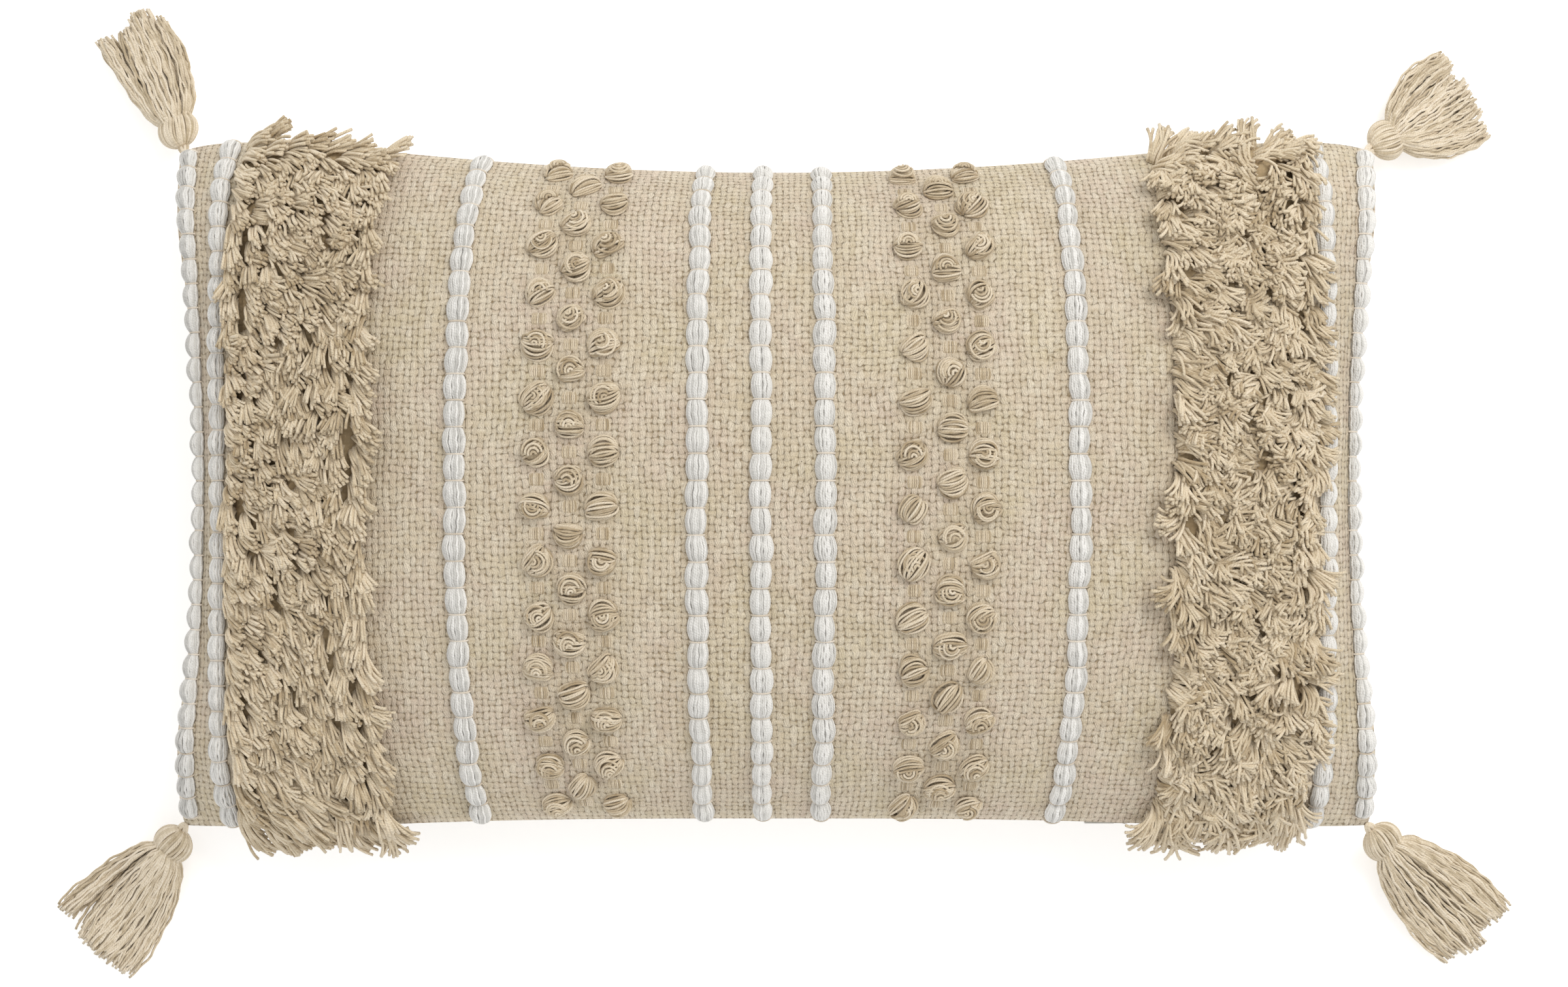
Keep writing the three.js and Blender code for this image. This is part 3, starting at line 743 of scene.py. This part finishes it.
def bobble_stripe(number, flat_a, panel, white, core, tie):
    """Fine white yarns in one long bundle, tied down at every bead's end."""
    beads = round(2 * FLAT_Y / BEAD_PITCH)
    steps = 10
    t = np.linspace(0, beads, beads * steps + 1)
    bead = np.minimum(t.astype(int), beads - 1)
    swell = np.abs(np.sin(np.pi * t)) ** 0.72
    width = (BEAD_WIDTH + spread(0.9, beads))[bead]
    height = (BEAD_HEIGHT + spread(0.6, beads))[bead]
    slip = spread(0.6, beads + 1)

    # The outermost stripes bend out to the corners and end short of the tassels.
    outermost = max(abs(a) for a in STRIPES) - abs(flat_a) < 10
    b = np.linspace(-1, 1, len(t)) * (FLAT_Y - (7 if outermost else 2.5))
    drift = 4.5 * np.sign(flat_a) * np.abs(b / FLAT_Y) ** 6 * outermost
    centre = PATTERN_X + flat_a + drift + np.interp(t, np.arange(beads + 1), slip)

    angle = np.linspace(12, 168, BEAD_STRANDS)[:, None]
    per_bead = spread(4, (BEAD_STRANDS, beads))
    wander = np.repeat(per_bead, steps, axis=1)[:, [*range(beads * steps), -1]]
    waves = 2.5 * np.sin(2 * np.pi * (t * 2.3 + rng.random((BEAD_STRANDS, 1))))
    angle = np.radians(angle + wander + waves)
    half = width / 2 * mix(0.66, 1, swell) - 0.6
    a = centre - half * np.cos(angle)
    rise = 0.5 + (height * mix(0.42, 1, swell) - 0.8) * np.sin(angle)
    paths = panel.at(a, np.broadcast_to(b, a.shape), rise)
    radius = STRAND_R * mix(0.74, 1, swell) * (1 + spread(0.12, (BEAD_STRANDS, 1)))
    outer = yarns(f"bobble_stripe_{number}", paths, radius, white, "cover")
    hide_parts(f"bobble_stripe_{number}")

    # A plain sheet closes the gaps between the yarns. It is darker than the yarns, as painted shade in
    # those gaps.
    dome = np.radians(np.linspace(0, 180, 9))[:, None]
    dome_a = centre - (half - 0.12) * np.cos(dome)
    dome_rise = 0.2 + (height * mix(0.42, 1, swell) - 0.9) * np.sin(dome)
    under = panel.at(dome_a, np.broadcast_to(b, dome_a.shape), dome_rise)
    sheet(f"bobble_core_{number}", under, core, "cover")

    sweep = np.radians(np.linspace(-8, 188, 13))
    ends = np.arange(beads + 1)
    place = np.interp(ends, t, b)[:, None] + spread(0.25, (beads + 1, 1))
    tie_centre = np.interp(ends, t, centre)[:, None]
    tie_half = TIE_HALF + spread(0.2, (beads + 1, 1))
    tie_a = tie_centre - tie_half * np.cos(sweep)
    tie_rise = 0.1 + 2.6 * np.sin(sweep)
    tie_paths = panel.at(tie_a, np.broadcast_to(place, tie_a.shape), tie_rise)
    yarns(f"bobble_tie_{number}", tie_paths, TIE_R, tie, "cover")


def knot_column(number, flat_a, panel, material):
    """Knots of looped yarn, and the flat stitches between them."""
    knots = round(2 * FLAT_Y / KNOT_PITCH)
    shift = 0.5 if (number - 1) % 3 == 1 else 0
    centre_b = (np.arange(knots) + 0.5 + shift) * KNOT_PITCH - FLAT_Y
    centre_b = centre_b[centre_b < FLAT_Y - 3] + spread(0.8)
    centre_a = PATTERN_X + flat_a + spread(1.2, len(centre_b))
    heading = knot_arcs(number, centre_a, centre_b, panel, material)
    knot_loops(number, centre_a, centre_b, heading, panel, material)
    knot_floats(number, flat_a, centre_b, panel, material)


def knot_arcs(number, centre_a, centre_b, panel, material):
    """The yarns that run over each knot from pole to pole, and the knot's core.

    Returns each knot's heading.
    """
    knots = len(centre_b)
    each = (knots, KNOT_ARCS, 1)
    whole = (knots, 1, 1)
    tau = np.radians(np.linspace(-88, 88, 15))
    longitude = np.radians(np.linspace(-88, 88, KNOT_ARCS))[None, :, None] + spread(0.09, each)
    lift = 1 + spread(0.12, each)
    long_half = (KNOT_LENGTH_HALF + spread(0.7, whole)) * (1 + spread(0.12, each))
    wide_half = KNOT_WIDTH_HALF + spread(0.8, whole)
    high = KNOT_HEIGHT + spread(0.7, whole)
    bow = (1.6 + spread(0.8, whole)) * np.sign(spread(1, whole))
    swell = np.abs(np.cos(tau)) ** 0.62
    ripple = 0.3 * np.sin(2.2 * tau + 2 * np.pi * rng.random(each))
    forward = long_half * np.sin(tau)
    sideways = wide_half * swell * np.sin(longitude) * lift + bow * (np.cos(tau) - 0.6) + ripple
    rise = 0.5 + high * swell * np.cos(longitude) * lift
    heading = np.radians(24 + spread(34, whole))
    middle = (centre_a[:, None, None], centre_b[:, None, None])
    a, b = steered(*middle, forward, sideways, heading)
    paths = panel.at(a, b, rise).reshape(-1, len(tau), 3)
    knot = yarns(f"knot_cord_{number}", paths, KNOT_R, material, "cover")
    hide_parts(f"knot_cord_{number}")

    core = np.linspace(-1, 1, 9)
    core_half = 5.2
    a, b = steered(centre_a[:, None], centre_b[:, None], core_half * core, 0, heading[:, :, 0])
    radius = 4.2 * np.sqrt(1.02 - core**2)
    # The core's tint is low, so it is darker than the yarns over it: painted shade in the gaps between
    # them.
    tint = np.full(knots, 0.2)
    paths = panel.at(a, b, 1.1)
    yarns(f"knot_core_{number}", paths, radius, material, "cover", sides=10, tint=tint)
    return heading


def knot_loops(number, centre_a, centre_b, heading, panel, material):
    """A second group of yarns, which turns round a point off the middle of most knots."""
    chosen = rng.random(len(centre_b)) < 0.75
    count = int(chosen.sum())
    each = (count, KNOT_LOOPS, 1)
    turn = np.radians(np.linspace(-92, 92, 15)) + np.radians(spread(14, each))
    off_knot = 90 * np.sign(spread(1, (count, 1, 1))) + spread(35, (count, 1, 1))
    loop_heading = heading[chosen] + np.radians(off_knot)
    size = np.linspace(1.2, 5.5, KNOT_LOOPS)[None, :, None] * (1 + spread(0.12, each))
    forward = size * np.cos(turn) * 1.05 + 0.3 * size
    sideways = size * np.sin(turn) * 0.95
    back = 1.8
    out = np.sqrt((forward - back) ** 2 + sideways**2) / 7.0
    rise = 1.0 + 6.1 * np.sqrt(np.clip(1 - out**2, 0.015, 1))
    knot = (centre_a[chosen][:, None, None], centre_b[chosen][:, None, None])
    middle = steered(*knot, -back, 0, loop_heading)
    a, b = steered(*middle, forward, sideways, loop_heading)
    paths = panel.at(a, b, rise).reshape(count * KNOT_LOOPS, -1, 3)
    yarns(f"knot_loop_{number}", paths, KNOT_LOOP_R, material, "cover")


def knot_floats(number, flat_a, centre_b, panel, material):
    """Flat stitches between the knots."""
    along = np.linspace(-1, 1, 7)
    lane = np.linspace(-3.2, 3.2, KNOT_FLOATS)[None, :, None]
    lane = lane + spread(0.2, (len(centre_b) + 1, KNOT_FLOATS, 1))
    gaps = np.concatenate([centre_b - KNOT_PITCH / 2, [centre_b[-1] + KNOT_PITCH / 2]])
    gaps = np.clip(gaps, 5 - FLAT_Y, FLAT_Y - 5)[:, None, None]
    bulge = 1 - 0.22 * along**2
    b = gaps + along * 3.3 + 0 * lane
    a = PATTERN_X + flat_a + lane * bulge
    arch = np.sqrt(np.clip(1 - (lane / 4.6) ** 2, 0, 1))
    rise = -0.6 + 0.72 * (1 - along**4) * arch
    paths = panel.at(a, b, rise).reshape(-1, len(along), 3)
    yarns(f"knot_float_{number}", paths, KNOT_FLOAT_R, material, "cover", sides=5)


def shag_base(side_name, sign, panel, material):
    """The crowded lower part of a band's pile, as one lumpy sheet that closes down to the cloth. Its
    colour is darker than the pile's yarn: painted shade between the tufts.
    """
    inset = 4
    end_b = FLAT_Y - 3
    share = np.linspace(0, 1, 41)[:, None]
    b = np.linspace(-end_b, end_b, 241)[None, :]
    a = PATTERN_X + sign * mix(SHAG_FROM + inset, SHAG_TO - inset, share)
    a, b, share = np.broadcast_arrays(a, b, share)
    edge = (1 - np.abs(2 * share - 1) ** 5) * (1 - np.abs(b / end_b) ** 40)
    rise = edge * (4 + spread(1.2, a.shape))
    sheet(f"shag_base_{side_name}", panel.at(a, b, rise - 0.3), material, "cover", turn=sign)


def tuft_places(sign, row):
    """Where a row's tufts stand on the flat cloth, in two staggered lines."""
    pitch = (SHAG_TO - SHAG_FROM) / SHAG_ROWS
    per_line = int(2 * (FLAT_Y - 3) / TUFT_PITCH)
    lines = []
    for line in (0.25, 0.75):
        place = SHAG_FROM + (row + line) * pitch
        stagger = TUFT_PITCH / 2 * ((2 * row + 4 * line) % 2 > 0.9)
        tuft_b = -FLAT_Y + 5 + stagger + np.arange(per_line) * TUFT_PITCH
        lines.append(np.stack([np.full(per_line, sign * place), tuft_b], axis=-1))
    tufts = np.concatenate(lines) + spread(1.3, (2 * per_line, 2))
    return tufts[np.abs(tufts[:, 1]) < FLAT_Y - 2]


def shag_row(side_name, sign, row, panel, material):
    """Two lines of tufts. Each tuft's cut yarns start together and comb over side by side."""
    tufts = tuft_places(sign, row)
    count = len(tufts)
    each = (count, TUFT_YARNS)

    # The left band is combed one way. The right band is tousled, and its yarns curl.
    combed = sign < 0
    wander = np.sin(tufts[:, 0] * 0.07 + 1.3 * np.sin(tufts[:, 1] * 0.045))
    if combed:
        comb = -55 + 20 * wander + spread(26, count)
        top_comb = 15 + spread(35, count)
    else:
        comb = -85 + 45 * wander + spread(70, count)
        top_comb = 75 + spread(50, count)
    comb = mix(comb, top_comb, smooth(FLAT_Y - 22, FLAT_Y - 4, tufts[:, 1]))
    comb = np.radians(comb)[:, None] + spread(0.22 if combed else 0.4, each)
    curl = spread(0.5 if combed else 1.3, (count, 1)) + spread(0.35 if combed else 0.9, each)

    # Near the lower edge the yarns are longer and hang down.
    low = smooth(-FLAT_Y + 45, -FLAT_Y, tufts[:, 1])[:, None]
    length = (PILE_LENGTH + spread(2.0, (count, 1)) + spread(2.0, each)) * (1 + 0.4 * low)
    start = np.radians(78 + spread(12, each))
    finish = np.radians(4 + spread(14, (count, 1)) + spread(14, each) - 22 * low)

    t = np.linspace(0, 1, 8)
    elevation = mix(start[..., None], finish[..., None], t**0.5)
    turn = comb[..., None] + curl[..., None] * t**1.5
    step = length[..., None] / (len(t) - 1)

    def travelled(rate):
        """How far each yarn has gone at each of its points, from its rate there."""
        gone = np.cumsum((rate * step)[..., :-1], axis=-1)
        return np.concatenate([np.zeros_like(gone[..., :1]), gone], axis=-1)

    # A tuft's yarns stand side by side across the way it is combed.
    order = rng.permuted(np.tile(np.arange(TUFT_YARNS), (count, 1)), axis=1)
    aside = np.linspace(-TUFT_HALF, TUFT_HALF, TUFT_YARNS)[order]
    ahead = spread(1.3, each)
    across = np.radians(90) + comb
    root_a = aside * np.cos(across) + ahead * np.cos(comb)
    root_b = aside * np.sin(across) + ahead * np.sin(comb)
    level = np.cos(elevation)
    a = PATTERN_X + tufts[:, :1, None] + root_a[..., None] + travelled(level * np.cos(turn))
    b = tufts[:, 1:, None] + root_b[..., None] + travelled(level * np.sin(turn))
    lowest = np.minimum(0.3 + 12 * t, 1.1)
    rise = np.maximum(0.3 + travelled(np.sin(elevation)), lowest)
    paths = panel.at(a, b, rise).reshape(-1, len(t), 3)
    radius = PILE_R * (1 + spread(0.12, (len(paths), 1)) + spread(0.08, paths.shape[:2]))
    radius = radius * np.where(t > 0.97, 1.1, 1.0)
    tuft_tint = np.repeat(spread(0.3, count), TUFT_YARNS)
    tint = np.clip(0.5 + tuft_tint + spread(0.28, len(paths)), 0, 1)
    name = f"shag_row_{side_name}_{row + 1}"
    obj = yarns(name, paths, radius, material, "cover", sides=5, tint=tint)
    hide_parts(name)


# ---- Tassels ----


def tassel_frame(spec, along, aside, up):
    """World points from places along a tassel, to its left, and above its middle line."""
    x, y = steered(spec["x"], spec["y"], along, aside, np.radians(spec["heading"]))
    middle = REST_Z + (CORNER_Z - REST_Z) * np.exp(-along / DROOP)
    return np.stack(np.broadcast_arrays(x, y, middle + up), axis=-1)


def tassel_piece(name, part, body, places, radius, material, sides=6):
    """One of a tassel's parts, from its yarns' places in the tassel's frame."""
    paths = tassel_frame(TASSELS[name], *places)
    paths[..., 2] = np.maximum(paths[..., 2], LOWEST_Z)
    obj = yarns(f"tassel_{name}_{part}", paths, radius, material, body, sides)
    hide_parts(f"tassel_{name}_{part}")


def tassel_loop(name, material):
    """The loop goes through the corner's stitches and back into the head."""
    sweep = np.linspace(0, np.pi, 13)
    along = np.array([4.6, 4.2])[:, None] - np.array([6.4, 5.0])[:, None] * np.sin(sweep)
    aside = np.array([2.3, 1.1])[:, None] * np.cos(sweep)
    up = np.array([0.6, 1.4])[:, None] + 0.8 * np.sin(sweep)
    body = f"tassel_{name}_mount"
    tassel_piece(name, "loop", body, (along, aside, up), LOOP_YARN_R, material)


def tassel_head(name, material, core_material):
    """The head's yarns run from its top over a ball to the neck, round a filling."""
    body = f"tassel_{name}"
    each = (HEAD_YARNS, 1)
    t = np.linspace(0, 1, 19)
    place = mix(HEAD_FROM, HEAD_TO, (1 - np.cos(np.pi * t)) / 2)
    ball = HEAD_R * np.sqrt(np.clip(1 - ((place - HEAD_MIDDLE) / HEAD_HALF) ** 2, 0, 1))
    radius = np.maximum(ball, mix(0.8, NECK_R + 1, t))
    start = (np.arange(HEAD_YARNS) / HEAD_YARNS * 2 * np.pi)[:, None]
    phi = start + 0.5 * t + spread(0.05, each)
    phi = phi + 0.04 * np.sin(2 * np.pi * (t + rng.random(each)))
    bulge = radius * (1 + spread(0.025, each))
    places = (place + 0 * phi, bulge * np.cos(phi), bulge * np.sin(phi))
    tassel_piece(name, "head", body, places, HEAD_YARN_R, material)

    angle = np.linspace(0, 2 * np.pi, 25)
    inner = np.maximum(radius - 0.5, 0.4)[:, None]
    places = (place[:, None], inner * np.cos(angle), inner * np.sin(angle))
    sheet(f"tassel_{name}_core", tassel_frame(TASSELS[name], *places), core_material, body)


def tassel_binding(name, material):
    """Turns of yarn bind the neck."""
    turns = np.linspace(0, BINDING_TURNS, 97)
    along = mix(BINDING_FROM, BINDING_TO, turns / turns[-1])[None]
    angle = 2 * np.pi * turns[None]
    wrapped = NECK_R + 0.5
    places = (along, wrapped * np.cos(angle), wrapped * np.sin(angle))
    tassel_piece(name, "binding", f"tassel_{name}", places, BINDING_YARN_R, material)


def tassel_skirt(name, material):
    """Strands come out from under the head, over the binding, and fan out over the surface.

    q and p are a strand's places across the neck, to the left and upwards. Strands gather in locks.
    """
    spec = TASSELS[name]
    locks = spec["locks"]
    t = np.linspace(0, 1, 26)
    each = (SKIRT_STRANDS, 1)
    disc = np.sqrt(np.minimum(rng.random(each) * 1.5, 1))
    disc_angle = rng.random(each) * 2 * np.pi
    q = disc * np.cos(disc_angle)
    p = disc * np.sin(disc_angle)
    lock = (np.arange(locks) + 0.5) / locks * 2 - 1 + spread(0.5 / locks, locks)
    nearest = np.argmin(np.abs(q - lock), axis=1)
    end_q = mix(q, lock[nearest][:, None], 0.08 + 0.3 * t**3) + spread(0.16, each)
    lock_length = 1 - 0.1 * lock**2 + spread(0.05, locks)
    reach = spec["length"] * lock_length[nearest][:, None] * (0.965 + spread(0.045, each))
    along = mix(SKIRT_FROM, reach, t)
    neck = mix(NECK_R + 0.6, NECK_R + 3, smooth(16, 24, along))
    opening = np.sin(np.pi / 2 * np.clip(1.08 * t - 0.05, 0, 1)) ** 0.75
    lock_turn = spread(4, locks)[nearest][:, None]
    slow = 2 * np.pi * (mix(1.5, 3, rng.random(each)) * t + rng.random(each))
    quick = 2 * np.pi * (mix(4, 6, rng.random(each)) * t + rng.random(each))
    sway = (0.2 + 0.5 * t) * np.sin(slow) + 0.32 * np.sin(quick)
    aside = mix(neck * q, spec["half_width"] * end_q, opening) + lock_turn * t**3 + sway
    up = p * mix(neck, 4.4, smooth(0.1, 0.7, t)) + sway[:, ::-1] * 0.5
    places = (along, aside, up)
    tassel_piece(name, "skirt", f"tassel_{name}", places, SKIRT_YARN_R, material, sides=5)


# ---- Zipper ----


def lower_lip_y(x):
    """The lower seam's place along Y."""
    return plan_y(x / CORNER_X / LIP_SCALE, -np.ones_like(x))


def zip_tape(name, z_sign, material):
    """A woven tape from the panel's lip to the chain.

    Its profile's points say how far inwards, how far up, and how much of the lip's bow they follow.
    """
    profile = [
        (0.75, 2.6, 0), (0.85, 3.3, 0), (2.6, 4.4, 0.6), (3.6, 5.4, 1),
        (3.4, 6.0, 1), (2.2, 5.0, 0.6), (1.35, 3.4, 0), (1.3, 2.6, 0),
    ]
    x = np.linspace(-ZIP_HALF, ZIP_HALF, 119)
    bow = np.clip(lower_lip_y(x) - ZIP_Y, -6, 0)
    rings = []
    for inwards, up, share in profile:
        y = ZIP_Y + inwards + share * bow
        rings.append(np.stack([x, y, np.full_like(x, SEAM_Z + z_sign * up)], axis=-1))
    points = np.stack(rings, axis=1)
    index = np.arange(points.shape[0] * len(profile)).reshape(-1, len(profile))
    following = np.roll(index, -1, axis=1)
    corners = [index[:-1], following[:-1], following[1:], index[1:]]
    quads = np.stack(corners, axis=-1).reshape(-1, 4)
    ends = np.stack([index[0, ::-1], index[-1]])
    faces = [quads[:, ::-z_sign], ends[:, ::-z_sign]]
    tape = mesh_object(f"zip_tape_{name}_cloth", points.reshape(-1, 3), faces, material, "cover")
    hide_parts(f"zip_tape_{name}")


def zip_coil(name, z_sign, material):
    """A coil of nylon teeth along the tape's edge."""
    length = 2 * ZIP_HALF - 8
    turns = np.linspace(0, length / COIL_PITCH, int(length / COIL_PITCH) * 12)
    angle = 2 * np.pi * turns
    radius = COIL_R - COIL_WIRE_R
    x = mix(-length / 2, length / 2, turns / turns[-1])
    y = ZIP_Y + radius * np.cos(angle)
    z = SEAM_Z + z_sign * (COIL_Z + radius * np.sin(angle))
    path = np.stack([x, y, z], axis=-1)[None]
    coil = yarns(f"zip_coil_{name}_teeth", path, COIL_WIRE_R, material, "cover", sides=5)
    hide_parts(f"zip_coil_{name}")


def zip_tape_end(name, side, material):
    """Past the chain's end the two tapes are sewn together, behind the panels' lips."""
    half_height = 6.4
    x = side * np.linspace(ZIP_HALF + 0.4, ZIP_HALF + 36, 19)[:, None]
    up = np.linspace(-half_height, half_height, 9)[None, :]
    y = lower_lip_y(x) + mix(2.0, 3.6, (up / half_height) ** 2)
    points = np.stack(np.broadcast_arrays(x, y, SEAM_Z + up), axis=-1)
    sheet(f"zip_tape_end_{name}", points, material, "cover", turn=side)


# ---- Stage ----


def stage():
    """A pale floor just under the pillow, white surroundings and one soft light."""
    size = 4000
    depth = 0.4
    square = np.array([[-1, -1, 0], [1, -1, 0], [1, 1, 0], [-1, 1, 0]], float)
    corners = square * size - [0, 0, depth]
    floor = mesh_object("floor", corners, [np.array([[0, 1, 2, 3]])], floor_material())

    world = bpy.data.worlds.new("studio")
    world.use_nodes = True
    background = world.node_tree.nodes["Background"]
    background.inputs[0].default_value = (0.98, 0.99, 1.0, 1)
    background.inputs[1].default_value = 0.86
    bpy.context.scene.world = world

    lamp = bpy.data.lights.new("key", "AREA")
    lamp.size = 1.2
    lamp.energy = 30
    lamp.color = (1.0, 0.985, 0.96)
    obj = bpy.data.objects.new("key", lamp)
    bpy.context.scene.collection.objects.link(obj)
    obj.location = (1.0, 1.2, 2.2)
    aim = -obj.location
    obj.rotation_euler = aim.to_track_quat("-Z", "Y").to_euler()


def camera():
    """Straight above the pillow, upright in the frame."""
    height = 1450
    frame_width = 764
    middle_x = 3.8
    middle_y = -6.05
    lens = bpy.data.cameras.new("camera")
    lens.sensor_width = 36
    lens.lens = lens.sensor_width * height / frame_width
    obj = bpy.data.objects.new("camera", lens)
    bpy.context.scene.collection.objects.link(obj)
    obj.location = (middle_x * MM, middle_y * MM, (SEAM_Z + height) * MM)
    bpy.context.scene.camera = obj


# ---- The scene ----


def cover_and_insert(front, back):
    weave = weave_material("cover_weave", srgb(218, 203, 173), srgb(222, 204, 183),
                           srgb(236, 224, 202), srgb(138, 116, 82))
    back_weave = weave_material("back_weave", srgb(214, 201, 176), srgb(219, 204, 184),
                                srgb(231, 220, 200), srgb(150, 130, 100))
    lining = plain_cloth_material("insert_lining", srgb(240, 239, 235), srgb(225, 223, 217), 3)
    fibre = plain_cloth_material("fibre", srgb(248, 248, 246), srgb(235, 235, 232), 1)
    cover_panel("cover_front", front, "front_panel", weave)
    cover_panel("cover_back", back, "back_panel", back_weave)
    skins = (front, back)
    inner_cushion("insert_cushion", skins, INSERT_DEPTH, INSERT_REACH,
                  ["insert_top", "insert_bottom"], lining)
    inner_cushion("insert_fibre", skins, FIBRE_DEPTH, FIBRE_REACH, ["fibre_fill"], fibre)


def trims(front):
    white = yarn_material("bobble_white", srgb(192, 189, 183), srgb(226, 223, 217),
                          srgb(240, 237, 232), pitch=2.6, fibre=1.1, groove_shade=0.12, relief=0.15)
    # The core is darker than the white yarn: painted shade between the bobbles' yarns.
    core = plain_cloth_material("bobble_core", srgb(196, 193, 188), srgb(180, 177, 171), 2)
    tie = yarn_material("bobble_tie", srgb(208, 194, 174), srgb(226, 214, 197),
                        srgb(234, 224, 210), pitch=2.0, relief=0.15)
    knot = yarn_material("knot_yarn", srgb(172, 152, 121), srgb(216, 200, 173), srgb(229, 215, 192))
    pile = yarn_material("shag_yarn", srgb(176, 155, 122), srgb(221, 205, 177), srgb(235, 220, 195))
    # The pile base is darker than the pile's yarn: painted shade between the tufts.
    pile_base = plain_cloth_material("shag_base", srgb(186, 165, 131), srgb(156, 135, 103), 1)
    for number, flat_a in enumerate(STRIPES, 1):
        bobble_stripe(number, flat_a, front, white, core, tie)
    for number, flat_a in enumerate(KNOT_COLUMNS, 1):
        knot_column(number, flat_a, front, knot)
    for side_name, sign in (("left", -1), ("right", 1)):
        shag_base(side_name, sign, front, pile_base)
        for row in range(SHAG_ROWS):
            shag_row(side_name, sign, row, front, pile)


def tassels():
    skirt = yarn_material("tassel_yarn", srgb(186, 168, 138), srgb(226, 211, 186), srgb(238, 225, 204))
    # The head's filling is darker than the yarn: painted shade in the gaps between the head's yarns.
    core = plain_cloth_material("tassel_core", srgb(206, 190, 162), srgb(176, 158, 128), 1)
    for name in TASSELS:
        tassel_loop(name, skirt)
        tassel_head(name, skirt, core)
        tassel_binding(name, skirt)
        tassel_skirt(name, skirt)


def zipper():
    tape = plain_cloth_material("zip_tape", srgb(214, 203, 180), srgb(188, 174, 148), 2)
    nylon = solid_material("zip_nylon", srgb(222, 213, 192), srgb(205, 194, 170), 0.4)
    for name, z_sign in (("front", 1), ("back", -1)):
        zip_tape(name, z_sign, tape)
        zip_coil(name, z_sign, nylon)
    zip_tape_end("left", -1, tape)
    zip_tape_end("right", 1, tape)


def shown_as_packed(nodes):
    """Materials of the CAD nodes that are shown as they were packed."""
    metal = solid_material("zip_metal", srgb(196, 192, 182), srgb(150, 145, 134), 0.32, metallic=1.0)
    cotton = plain_cloth_material("seam_cotton", srgb(210, 198, 172), srgb(176, 160, 130), 1)
    nodes["seam_allowance"].material_slots[0].material = cotton
    stops = ["zip_bottom_stop", "zip_top_stop_front", "zip_top_stop_back"]
    for node in ["zip_slider", "zip_pull", *stops]:
        nodes[node].material_slots[0].material = metal


def main():
    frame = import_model()
    bpy.context.scene.view_settings.view_transform = "Standard"

    front = Panel(1)
    back = Panel(-1)
    relax(front, FRONT_PRESSURE, FRONT_TRAVEL)
    relax(back, BACK_PRESSURE, BACK_TRAVEL)
    front.refine()
    back.refine()
    cover_and_insert(front, back)
    trims(front)
    tassels()
    zipper()
    shown_as_packed(frame["nodes"])

    stage()
    camera()


main()
